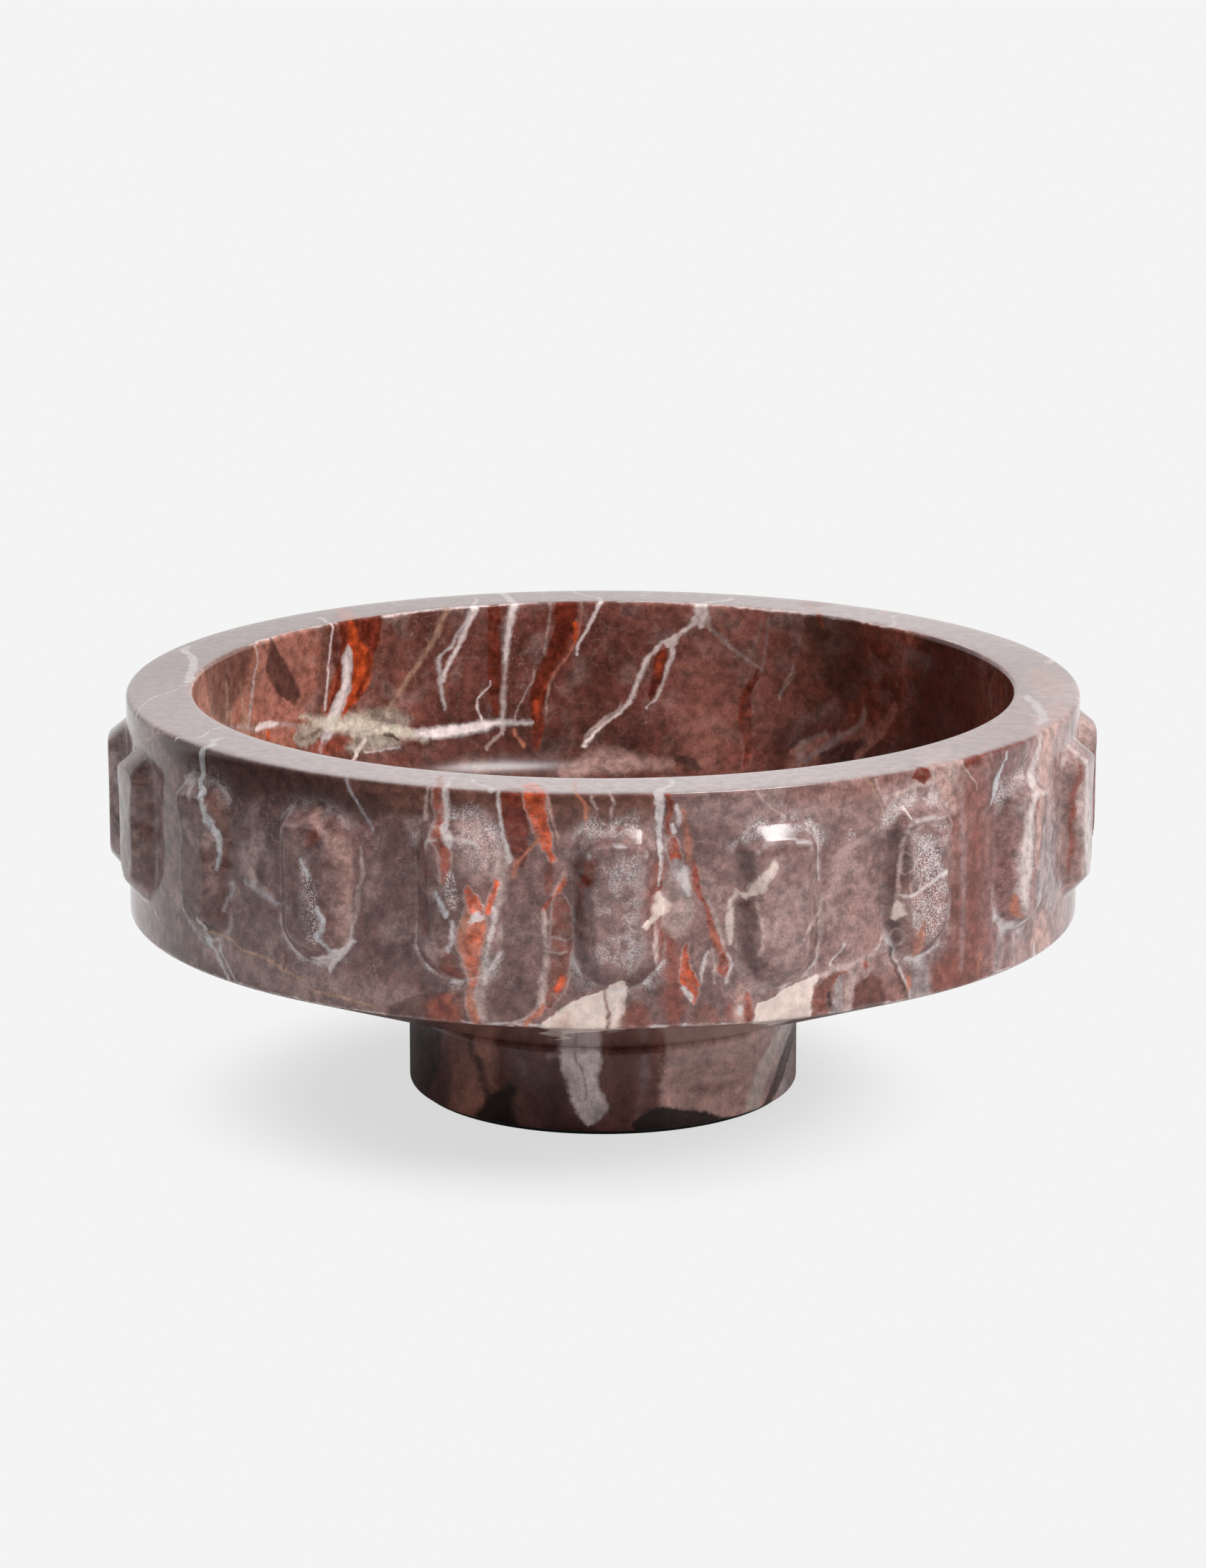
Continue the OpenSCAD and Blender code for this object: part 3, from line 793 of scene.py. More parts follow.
        vein(DUSTY_PINK, (75, 30.8, 2), (72.8, 30.9, 2.3), (71, 30.9, 1.2), edge=1, cover=0.8),
        vein(RED, (75, 30.9, 0.5), (74, 30.9, 0.8), (73, 30.9, 0.4)),
        vein(WHITE, (81.5, 28, 0.3), (78.5, 27.2, 0.4), (75.2, 26.1, 0.35)),
        vein(WHITE, (115, 28.8, 0.8), (113.8, 28.9, 1.6), (112.6, 28.8, 0.8), edge=1, grain=True),
        vein(TAN, (134, 31.8, 0.5), (131, 30.9, 0.6), (127, 31.5, 0.6), (123, 32.1, 0.5), (118, 33, 0.4)),
        vein(PALE_PINK, (129, 32, 0.3), (124, 32.7, 0.35), (119, 33.6, 0.3)),
    ],
    "third_right": [
        band(DUSTY_PINK, (33, 124, 3), (37, 124.5, 5), (41, 125, 7), (45, 125, 3), edge=3, cover=0.6),
        band(PALE_PINK, (33, 123.5, 0.5), (36, 124.5, 0.6), (38, 126, 0.7), (40.5, 125.5, 0.6)),
        vein(SALMON, (133, 41.5, 2), (128, 41.7, 2.8), (124, 42, 2.5), (119, 43, 2), (115, 43.8, 1),
             edge=1.5),
        vein(RED, (131, 41.2, 0.7), (129.3, 41.3, 1), (127.5, 42.2, 0.6)),
        vein(DARK_RED, (130.5, 38.7, 2.2), (128.4, 38.6, 3.2), (126.9, 39, 1.6), edge=0.7),
        vein(PALE_PINK, (130, 40.3, 0.5), (126, 40.4, 0.5), (122, 39.8, 0.4), edge=0.7),
        vein(WHITE, (110, 37.3, 2.5), (104, 37.8, 4.5), (96, 37.6, 4), (88, 38, 4.5), (80, 38.3, 2),
             edge=2, grain=True),
        # Dark brown stone down the left bevel of the lug at 37.9 degrees, with painted shade of that bevel
        vein(DARK, (114, 34.2, 0.8), (105, 34.2, 1.6), (98, 34.3, 1.8), (90, 34, 1.2), (84, 34.2, 2),
             (79, 34.4, 1.6), (76, 34.5, 0.8), edge=2.4, cover=0.75),
        vein(UMBER, (107, 34.9, 0.5), (104.4, 35.2, 1.5), (101.8, 35, 0.8), edge=0.7, halo=0.7, cover=0.85),
        vein(UMBER, (99, 36.2, 0.5), (97, 36.1, 1.2), (95, 36, 0.7), edge=0.7, halo=0.7, cover=0.85),
        vein(UMBER, (89.5, 36.4, 0.5), (87.2, 36.5, 1.3), (85, 36.3, 0.7), edge=0.7, halo=0.7, cover=0.85),
        vein(UMBER, (83, 34.6, 0.6), (80.8, 34.5, 1.4), (78.6, 34.7, 0.7), edge=0.7, halo=0.7, cover=0.85),
        vein(BLACK, (78, 34.4, 0.5), (72, 35, 0.45), (66, 36, 0.4), (60, 37, 0.4), edge=0.7, cover=0.85),
        vein(PALE_PINK, (112, 34.7, 0.4), (105, 34.5, 0.3), (98, 34.5, 0.4), (93, 34.3, 0.5), edge=0.6,
             cover=0.8),
        vein(WHITE, (77, 34.8, 0.3), (72, 35.5, 0.35), (66, 36.5, 0.4), (61, 37.4, 0.4), cover=0.85),
        vein(CREAM, (92, 34.4, 0.7), (89, 34.4, 1.2), (87, 34.2, 0.8), cover=0.85),
        vein(SOFT_ORANGE, (85.5, 36.9, 0.4), (82, 36.7, 1), (79, 36.9, 1.3), (76, 37.4, 1.5),
             (74, 37.4, 0.7)),
        band(WHITE, (34.8, 94.3, 0.4), (36.5, 95, 0.5), (38, 97, 0.6), (39.5, 99, 0.7), (40.6, 99.5, 0.5)),
        vein(GREY, (73, 38.5, 2), (68, 38.8, 3), (62, 38.6, 4), (60, 38.6, 4), edge=2, cover=0.8),
        vein(SOFT_ORANGE, (67, 37, 0.6), (65.5, 37, 1), (64, 37, 0.6)),
        vein(BROWN_RED, (70, 43.5, 3.5), (66, 43, 5.5), (60, 43.2, 6), edge=3, cover=0.8),
    ],
    "fourth_right": [
        vein(BROWN_RED, (120, 46.5, 6), (100, 46.5, 8), (80, 46.5, 8), (60, 47, 8), edge=6, cover=0.6),
        vein(LILAC, (122, 44.8, 0.4), (104, 45.3, 0.9), (84, 45.6, 0.8), (66, 45.2, 0.4), edge=2,
             cover=0.4),
        vein(DARK_RED, (114, 48, 0.6), (97, 47.2, 1.2), (78, 47.6, 1), (66, 47.4, 0.4), edge=2.4,
             cover=0.45),
        vein(SOFT_ORANGE, (75, 49.7, 0.5), (70, 49, 1), (63, 48.5, 1.2), edge=2, cover=0.5),
        band(DARK_RED, (44.5, 129, 1.5), (47, 129.5, 1.6), (49, 130, 0.6), (52, 130.4, 0.8),
             (57, 130.4, 0.6), edge=1),
        vein(PALE_PINK, (130, 44.9, 0.4), (125, 46.2, 0.45), (120.5, 47.5, 0.3)),
        vein(BLUE_WHITE, (128.5, 53.4, 0.4), (124, 52, 0.8), (121, 51.2, 1.3), (117, 50.8, 1.1),
             (114.5, 50.3, 0.4), edge=0.9),
        vein(GREY, (130, 58.3, 1), (125, 57.7, 1.6), (121, 57, 1), edge=1.5, grain=True),
        vein(DUSTY_PINK, (131, 66, 8), (120, 66, 8), (108, 65.5, 6), (100, 66, 3), edge=4, cover=0.7),
        vein(SALMON, (131, 64.5, 3.5), (122, 63.5, 4.5), (114, 63, 4.8), (108, 62.5, 4.5), (103, 61, 3),
             (96, 60.8, 2), (90, 60.8, 0.8), edge=1.5),
        vein(SALMON, (117.5, 57.5, 1.2), (112, 57.6, 2.6), (105, 57.1, 1.8), (98, 57, 1.4),
             (91, 57.2, 0.8), edge=1.2),
        vein(GREY, (105, 58.5, 0.3), (98, 58.4, 1), (93, 58.2, 2), (88, 58, 2.6), (83, 57.5, 1.5), edge=1),
        vein(ROSE_WHITE, (139, 70, 1), (131, 62, 1.3), (127, 61.5, 1.8), (123, 60.3, 2.6),
             (119, 58.7, 2.8), (115.5, 56.8, 2), (110, 55.2, 2.2), (104, 54.7, 2.7), (98, 54.5, 3),
             (92, 54.3, 3.1), (86, 54.2, 2.6), (80, 54.5, 1), edge=2),
        vein(WHITE, (112, 55.4, 0.8), (104, 55.2, 1.6), (98, 55.2, 2), (92, 55.1, 2), (86, 54.8, 1.2),
             edge=2, grain=True),
        vein(RED, (113, 56.7, 0.4), (111.5, 56.8, 0.8), (110, 57, 0.4), cover=0.8),
        vein(RED, (110.5, 60.3, 0.5), (108.5, 61, 1.2), (107, 61.6, 0.8), edge=0.9, cover=0.8),
        vein(WHITE, (84, 57.6, 0.5), (81, 57.5, 1.4), (78, 57.6, 1), edge=1, cover=0.7),
        band(WHITE, (51.4, 78, 0.5), (53, 75.4, 1.4), (55, 74.6, 1.3), (57, 76.2, 0.6), edge=1, cover=0.75),
        vein(GREY, (73, 52.8, 1), (67, 52.6, 2.2), (61, 52.3, 1.8), edge=1.5, cover=0.6),
        vein(WHITE, (71, 55.6, 0.5), (66, 55.8, 0.8), (61.5, 56, 0.5), edge=1, cover=0.7),
        vein(SOFT_ORANGE, (85.5, 53, 0.5), (82, 53.1, 1), (79, 53.8, 1), (77, 54.7, 0.4)),
        vein(GREY, (78, 66, 5), (95, 66.5, 5), (104, 67, 2), edge=4, cover=0.7),
        vein(SALMON, (71, 63, 4), (66, 63, 7), (60, 64, 9), edge=3, cover=0.85),
        vein(DUSTY_PINK, (70, 56.5, 4), (62, 57, 5), (60, 57, 5), edge=3, cover=0.7),
        vein(WHITE, (65, 61.2, 0.3), (63, 61.2, 0.8), (60, 61.3, 1)),
    ],
    "right": [
        vein(ROSE_WHITE, (118, 72, 1.5), (108, 72, 2.6), (95, 73, 5), (84, 73.6, 5), (77, 74, 2), edge=2,
             cover=0.6),
        vein(BROWN_RED, (115.5, 70.7, 0.5), (105, 70.5, 0.8), (90, 70.3, 0.6), (82, 70.3, 0.4)),
        vein(BROWN_RED, (106, 83, 9), (95, 83, 11), (80, 83, 10), (74, 85, 6), edge=2),
        vein(PALE_PINK, (131, 84, 14), (120, 84, 14), (108, 83, 11), edge=4, cover=0.7),
    ],
    "back_left": strewn_veins(31, 16, -176, -94, 62, 130),
    "back_right": strewn_veins(32, 16, 100, 176, 62, 130),
}

# Veins of the cone below the wall, by reach
CONE_VEINS = {
    "cone": strewn_veins(37, 34, -178, 178, -20, 50) + [
        vein(CREAM, (60, -2.2, 12), (52, -3, 9), (42, -5, 6), (30, -7, 4), (16, -6, 2.5), (4, -8, 1),
             edge=1),
        vein(CREAM, (60, 20.6, 8.7), (50, 21, 6), (40, 23, 3), (28, 24, 1), edge=1),
    ],
}

# Veins over the rim by reach: from the outside, and those that run on to the inside
RIM_VEINS = {
    "rim": [
        vein(WHITE, (128, -72.5, 0.5), (136, -79.5, 0.6), (144.5, -84.5, 0.6), (149, -88, 0.5)),
        vein(WHITE, (130, -59, 0.5), (134, -57.5, 0.5), (147, -61, 0.4)),
        vein(WHITE, (131, -12.4, 0.8), (143, -16, 0.8)),
        vein(PALE_PINK, (133, 36, 0.5), (138, 36.8, 0.4)),
        vein(PALE_PINK, (130, 43, 6), (136, 44, 8), (143, 45, 5), edge=3, cover=0.7),
        band(SALMON, (62, 131, 2), (68, 133, 5), (75, 135, 4), (80, 136, 1), edge=2, cover=0.8),
        band(WHITE, (66, 135, 1.2), (76, 142, 1.6), (82, 146, 0.8)),
        band(TAN, (83, 140, 3), (91, 140, 5), (98, 140, 2), edge=3, cover=0.6),
    ],
}
INNER_RIM_VEINS = {
    "rim": [
        band(BRIGHT, (112, 149.8, 0.1), (128, 150.2, 0.35), (150, 150.2, 0.5), (166, 150, 0.3),
             (178, 150, 0.1), edge=0.7, cover=0.7),
        band(BRIGHT, (190, 150, 0.1), (205, 150.2, 0.5), (222, 150.2, 0.3), (245, 150, 0.1), edge=0.7,
             cover=0.7),
        vein(SOFT_ORANGE, (139, 150, 0.8), (146, 147.5, 1), (153, 145, 0.6)),
        vein(WHITE, (135, 137, 0.5), (149, 133, 0.5)),
        vein(WHITE, (138, 162, 0.7), (152, 165, 1.8)),
        vein(WHITE, (130, 184, 0.6), (149, 180.3, 0.6)),
        vein(WHITE, (130, 193.5, 1.2), (150, 193.4, 1.5)),
        vein(WHITE, (138, 198, 0.5), (152, 199.7, 0.6)),
        vein(TAN, (134, 209.5, 0.6), (142, 207, 0.6), (150, 204, 0.9)),
        vein(SOFT_ORANGE, (132, 217.5, 1.5), (150, 220, 4), edge=1, cover=0.8),
        vein(WHITE, (140, 223, 0.6), (150, 224.3, 0.6)),
        band(WHITE, (248, 134, 1), (254, 142, 1.5), (263, 148, 1.5), (270, 148.5, 1)),
    ],
}

# Veins of the inner wall by height, with azimuths that run on past the back
INNER_VEINS = {
    "right_side": [
        vein(MAROON, (131, 118, 20), (110, 118, 23), (90, 120, 26), (78, 122, 22), edge=10, cover=0.9),
        vein(DARK, (131, 143, 10), (120, 142, 12), (110, 141, 9), (104, 141, 4), edge=6, cover=0.65),
        vein(RUST, (124, 123.4, 0.5), (116, 124.8, 0.8), (110, 126, 0.5), edge=1.2),
        vein(RUST, (121, 130, 0.6), (110, 132.3, 0.6), edge=1.2),
        vein(CLAY, (105, 131, 1.2), (99, 132.6, 2.8), (92, 134.5, 2.8), (84, 137, 1.2), edge=1.6,
             cover=0.9),
        vein(DUSTY_PINK, (100, 137, 0.5), (96, 138, 0.7), (91.5, 139, 0.5), edge=1, cover=0.7),
        band(CLAY, (135, 94, 0.6), (139, 91.5, 1.6), (142, 89.5, 2.2), (145, 87, 2.2), (149, 83, 1.2),
             edge=1.6),
        vein(CLAY, (85, 146.5, 4), (80, 146.5, 7), (72, 146.5, 5), edge=3, cover=0.75),
        vein(SOFT_ORANGE, (132, 127.8, 2.5), (128, 128, 2), (126, 128, 0.8), cover=0.8),
        vein(RED, (132, 146, 0.8), (129, 145.6, 0.8), (127, 145, 0.5)),
    ],
    "back": [
        vein(CLAY, (110, 164, 5), (98, 164.5, 9), (90, 164.5, 10), (80, 164, 7), edge=5, cover=0.5),
        vein(BRIGHT, (131, 165, 2.4), (127, 165, 2.6), (124.5, 165, 1.8), (122.5, 165, 0.4), halo=0.7),
        vein(PALE_PINK, (125, 163.9, 1.4), (121, 162.4, 1.4), (117, 160.5, 1.3), (112, 157.5, 1.3),
             (109, 155.6, 1.2), edge=1.2),
        vein(BRIGHT, (125.5, 166, 1.2), (121.5, 167.4, 1.2), (118.5, 169.3, 2.2), (116.5, 170, 3.2),
             (114.5, 171.5, 1.8), (112, 173, 1.1), (107, 174, 0.9), (101, 175, 0.8), (96, 175.9, 0.9),
             (92, 177.8, 0.9), (88, 180, 0.8), (83, 182, 0.6), (80, 182.9, 0.4), edge=0.9, halo=0.8),
        vein(BRIGHT, (115, 169.4, 0.8), (108, 170.2, 0.7), (102, 171, 0.6), (96, 172.1, 0.5),
             (94, 173.3, 0.3), halo=0.5),
        vein(DARK_RED, (115.5, 170.8, 1), (110, 171.3, 2.2), (104, 171.6, 2.1), (97, 172.4, 0.7), edge=0.9),
        vein(ORANGE, (115, 170.8, 0.6), (111, 171.2, 1.3), (106, 171.4, 0.8), edge=1.4, cover=0.6),
        vein(DUSTY_PINK, (109, 155.9, 1.2), (98, 158, 2.6), (86, 157.2, 2.6), (76, 156.3, 1.8), edge=1.2,
             cover=0.5),
        vein(RED, (109, 155.8, 0.9), (104, 157, 2), (98, 158, 2.5), (92, 157.9, 2.5), (86, 157.1, 2.2),
             (76, 156.3, 1.6)),
        vein(DARK_RED, (104, 157.4, 0.6), (98, 158.3, 1.1), (92, 158.2, 1.2), (86, 157.4, 1.1),
             (78, 156.5, 0.8), edge=1.2, cover=0.7),
        vein(DUSTY_PINK, (127, 154.3, 0.4), (118, 154.6, 0.5), (110, 155, 0.4)),
        vein(DUSTY_PINK, (126, 155.5, 0.4), (119, 156.2, 0.4), (113, 157, 0.3)),
        vein(PALE_PINK, (110, 149.8, 0.3), (104, 151.4, 0.4), (100, 152.5, 0.3)),
        vein(BRIGHT, (132, 180.3, 0.8), (127, 181.2, 0.9), (122, 182.2, 0.8), (112.5, 184, 0.4)),
        vein(SALMON, (131, 183.2, 0.4), (124, 183.5, 0.4), (117, 184.2, 0.4), (110, 186.2, 0.4),
             (104, 187.8, 0.4), (92, 188.6, 0.3)),
        vein(DARK_RED, (129, 185.6, 4.5), (122, 186, 4), (114, 187.2, 3.8), (108, 188.6, 3),
             (100, 189.8, 2.6), (92, 190, 2.4), (85, 190, 1), edge=1),
        vein(ORANGE, (127, 183.4, 0.6), (119, 184, 1), (112, 185.6, 0.9), (104, 188, 0.7),
             (94, 189.8, 0.6), (86, 190, 0.3), edge=1.4, cover=0.4),
        vein(ORANGE, (123.5, 184.2, 0.6), (121.5, 184.2, 1), (120, 184.2, 0.5)),
        vein(ORANGE, (119.5, 184.2, 0.6), (118, 184.3, 0.8), (116.8, 184.3, 0.4)),
        vein(PALE_PINK, (132, 188, 0.5), (124, 188.4, 0.5), (113, 189, 0.3), cover=0.7),
        vein(PALE_PINK, (107, 190.5, 0.3), (98, 192, 0.35), (89, 193.5, 0.3)),
        vein(DARK_RED, (130, 196.5, 2.2), (120, 196.7, 2.6), (110, 196.6, 2.6), (100, 196.6, 2.2),
             (93, 196.6, 1), edge=0.9),
        vein(ROSE_WHITE, (131, 193.5, 2), (126, 194, 1.8), (120, 194.6, 1.4), (112, 194.9, 1.1),
             (106, 195, 0.6), (99, 195.1, 0.9), (92, 195.5, 0.8), (86, 195.8, 0.4), edge=1.2),
        vein(BRIGHT, (131, 193.4, 1.2), (126, 193.9, 1), (120, 194.5, 0.7), (112, 194.9, 0.4)),
        vein(BRIGHT, (104, 197.2, 0.3), (100, 198.6, 0.4), (96, 199.5, 0.4), (92, 199, 0.4),
             (88.5, 198.8, 0.3)),
        vein(BRIGHT, (131, 199.8, 1.6), (125, 200.9, 0.9), (119, 202, 0.8), (112, 203.7, 0.8),
             (106, 204.9, 0.6), edge=1.1, halo=0.7),
        vein(WHITE, (128.5, 200.8, 0.8), (122, 202.4, 0.9), (118, 203.5, 0.9), (112, 205.6, 1.1),
             (105, 205.3, 0.9), (96, 204.7, 0.5), edge=1.1),
        vein(TAN, (131, 204, 1.2), (126, 205.1, 1.3), (120.5, 206.3, 1.5), (112.5, 209, 1.5),
             (107, 211, 1.3), (103.5, 212.3, 1.2), (96, 214.3, 0.7), edge=1.4, cover=0.8),
        vein(UMBER, (124, 212, 4), (114, 214, 6), (104, 215.5, 4), edge=6, cover=0.5),
    ],
    "left_side": [
        band(SOFT_ORANGE, (231, 98, 3), (238, 100, 9), (246, 104, 11), (254, 108, 9), (262, 112, 4),
             edge=7, cover=0.6),
        vein(CLAY, (131, 233, 8), (120, 235, 12), (110, 236, 14), (101, 236, 8), edge=4, cover=0.6),
        vein(UMBER, (131, 225.6, 2), (115, 226.2, 2.6), (105, 226.8, 2.2), (100, 227.4, 1), edge=2,
             cover=0.6),
        vein(UMBER, (130, 237.6, 1.2), (125, 237.4, 4), (120, 236.6, 6.2), (115, 235, 6.4),
             (110, 233.5, 5.4), (107, 232.6, 2), edge=1.6, cover=0.9),
        vein(UMBER, (131, 252, 22), (124, 252, 20), (117, 252, 16), (112, 252, 8), edge=4, cover=0.65),
        vein(DARK_RED, (131, 219, 10), (122, 219.3, 9), (114, 220.5, 7.8), (107, 221.8, 7.5),
             (101, 223, 5), (96, 224.5, 2.5), edge=1.1),
        vein(ORANGE, (130, 220.6, 1), (124, 220.4, 2.4), (119, 219.2, 4), (113, 218.8, 4.2),
             (107, 219.6, 4.4), (103, 221, 3.6), (98, 222.8, 1.2), edge=1.8, cover=0.85),
        vein(DARK_RED, (118, 217.6, 0.6), (113, 217.8, 1.4), (108, 218.6, 1.2), (104, 219.6, 0.6),
             edge=1.4, cover=0.7),
        vein(RED, (117, 223.4, 0.8), (109, 224.6, 1.2), (103, 225.5, 1), (98, 226, 0.6), edge=0.9),
        vein(MAROON, (131, 224.2, 1.4), (124, 224, 2.2), (116, 223.6, 1.2), edge=1.4, cover=0.8),
        vein(WHITE, (122, 221.4, 0.5), (118, 221.7, 2.4), (113, 221.7, 2.5), (109, 221.7, 2.1),
             (106, 222.5, 3.4), (102, 223.5, 3.6), (97, 224.9, 3), (92, 226, 2.4), (87, 228, 1), edge=1.2),
        vein(BRIGHT, (118, 221.8, 0.8), (113, 221.7, 1.3), (107, 222.3, 1.6), (102, 223.5, 2),
             (96, 225, 1.2), edge=1.4),
        vein(BRIGHT, (132, 224.2, 0.4), (122, 224.9, 0.4), (112, 225.4, 0.5), (102, 226, 0.4), cover=0.8),
        vein(PALE_PINK, (132, 242.3, 0.7), (126, 241.5, 0.7), (121, 242.2, 0.8), (117, 242.7, 1),
             (110, 243.6, 1.2), (104, 244, 0.8)),
        vein(TAN, (119, 246.4, 0.3), (113, 246, 1.4), (106, 245.5, 3), (101, 245.5, 4), edge=1.6,
             cover=0.6),
        vein(TAN, (122, 251.4, 0.4), (115, 251, 1.6), (108, 250.5, 3), edge=1.6, cover=0.6),
        vein(TAN, (121, 258, 0.4), (114, 257.5, 1.8), (108, 257, 3.4), edge=1.6, cover=0.6),
        vein(ORANGE, (100.5, 239, 0.6), (98.5, 239, 1.1), (96.5, 239, 0.5), cover=0.8),
        band(PALE_PINK, (231, 98, 0.5), (235, 100.2, 0.7), (238, 101.6, 1), (242, 102.2, 1.2),
             (245, 103.7, 1), (249, 105.2, 0.9), (253, 107.7, 0.9), (258, 111, 0.8), edge=1.2, cover=0.8),
        band(BRIGHT, (236.5, 101.4, 0.4), (239, 102.2, 1.2), (242, 102.2, 1)),
    ],
    "front_left": strewn_veins(33, 12, 276, 356, 70, 130),
    "front_right": strewn_veins(34, 12, 4, 84, 70, 130),
}

# Veins low on the inside and at the edge of its floor, by reach
LOW_VEINS = {
    "low": [
        band(SALMON, (169, 207.5, 1), (174, 207, 2.5), (180, 206.5, 5), (186, 211, 3), edge=4, cover=0.65),
        band(DARK, (163.5, 208.5, 0.8), (165.5, 206.5, 1.8), (168, 205.5, 0.8), cover=0.8),
        vein(DUSTY_PINK, (180, 137, 0.6), (186, 138, 1.6), (190, 141, 2.2), (196, 144, 2), (201, 146, 1),
             edge=1.2),
        vein(DUSTY_PINK, (190, 144, 0.8), (193, 146, 2), (197, 147.8, 2.2), (202, 147.2, 1), edge=1.5,
             cover=0.8),
        vein(PALE_PINK, (169, 150, 0.4), (175, 151.3, 0.6), (181, 152.5, 0.4)),
        vein(BROWN_RED, (190, 157.6, 2.2), (198, 156.3, 2), (206, 153.5, 1.6), edge=0.9),
        vein(PALE_PINK, (186, 177.2, 0.6), (190, 179.2, 1.6), (194, 181, 1.3), (198, 182.7, 0.4)),
        vein(DARK_RED, (190, 190, 2.4), (196, 190.3, 2), (201, 190.6, 1.2), edge=0.9),
        vein(ORANGE, (183, 190, 0.4), (187, 190.2, 1), (191, 190.2, 0.5), edge=1.2, cover=0.5),
        vein(SOFT_ORANGE, (194, 193.8, 0.8), (197, 193.2, 1), (200, 192.6, 0.5), edge=0.9),
        vein(PALE_PINK, (193, 195.5, 0.8), (196, 196.8, 1.2), (200, 198.5, 0.5), edge=1.2, cover=0.7),
        band(GLAZE, (226.3, 185, 1), (228.5, 185.4, 3.2), (231, 186, 3.6), (232.6, 186.4, 2), edge=1,
             cover=0.65),
        band(UMBER, (226.8, 185.6, 0.3), (229, 186.2, 0.7), (231.6, 187, 0.4), edge=0.6, cover=0.5),
        band(GLAZE, (210.2, 187.4, 0.6), (213, 185.4, 2.2), (216, 184.6, 2.4), (219, 183.8, 2),
             (221.5, 183.6, 0.8), edge=2.4, cover=0.6),
        band(GLAZE, (213.2, 194.6, 0.5), (215.5, 193.4, 1.8), (218, 192.2, 2.8), (220.5, 191.8, 3.2),
             (222.5, 192.6, 2), edge=2, cover=0.65),
        band(SAND, (208.4, 194.6, 0.4), (210, 192.8, 1.2), (212, 191.2, 1.8), (214.5, 189.8, 2),
             (217, 187.9, 2.1), (220, 186.6, 3), (223, 185.2, 3), (226, 183.2, 2), (229, 181, 1),
             (231.5, 179.6, 0.4), edge=2.2, cover=0.9),
        band(GREY, (211, 188.8, 0.3), (215, 187.6, 0.5), (219, 188.6, 0.4), (223, 188.2, 0.3), cover=0.6),
        band(WHITE, (213.2, 196.2, 0.3), (216, 195.9, 0.3), (219.5, 195.8, 0.3), cover=0.7),
        band(DARK, (213.1, 193.6, 0.5), (214, 191.7, 0.8), (215.4, 191.2, 0.4), edge=0.5),
        vein(CREAM, (191, 219, 0.8), (193.5, 220.2, 1.5), (196.5, 221.5, 1.2), (198.5, 222.3, 0.8),
             edge=0.9),
        band(RED, (221.5, 191, 0.8), (224, 191.8, 2), (227, 192, 2.2), (229.5, 192, 1), edge=1.5,
             cover=0.8),
        band(WHITE, (191, 191.6, 0.5), (195, 191.3, 0.9), (199, 192.1, 1.6), (203, 192.9, 2),
             (207, 192.8, 1.9), (210, 192.4, 1.2), edge=1.2),
        band(BRIGHT, (196, 191.5, 0.4), (201, 192.4, 1.3), (206, 192.9, 1.4), (209, 192.8, 0.7), edge=0.9),
    ],
}

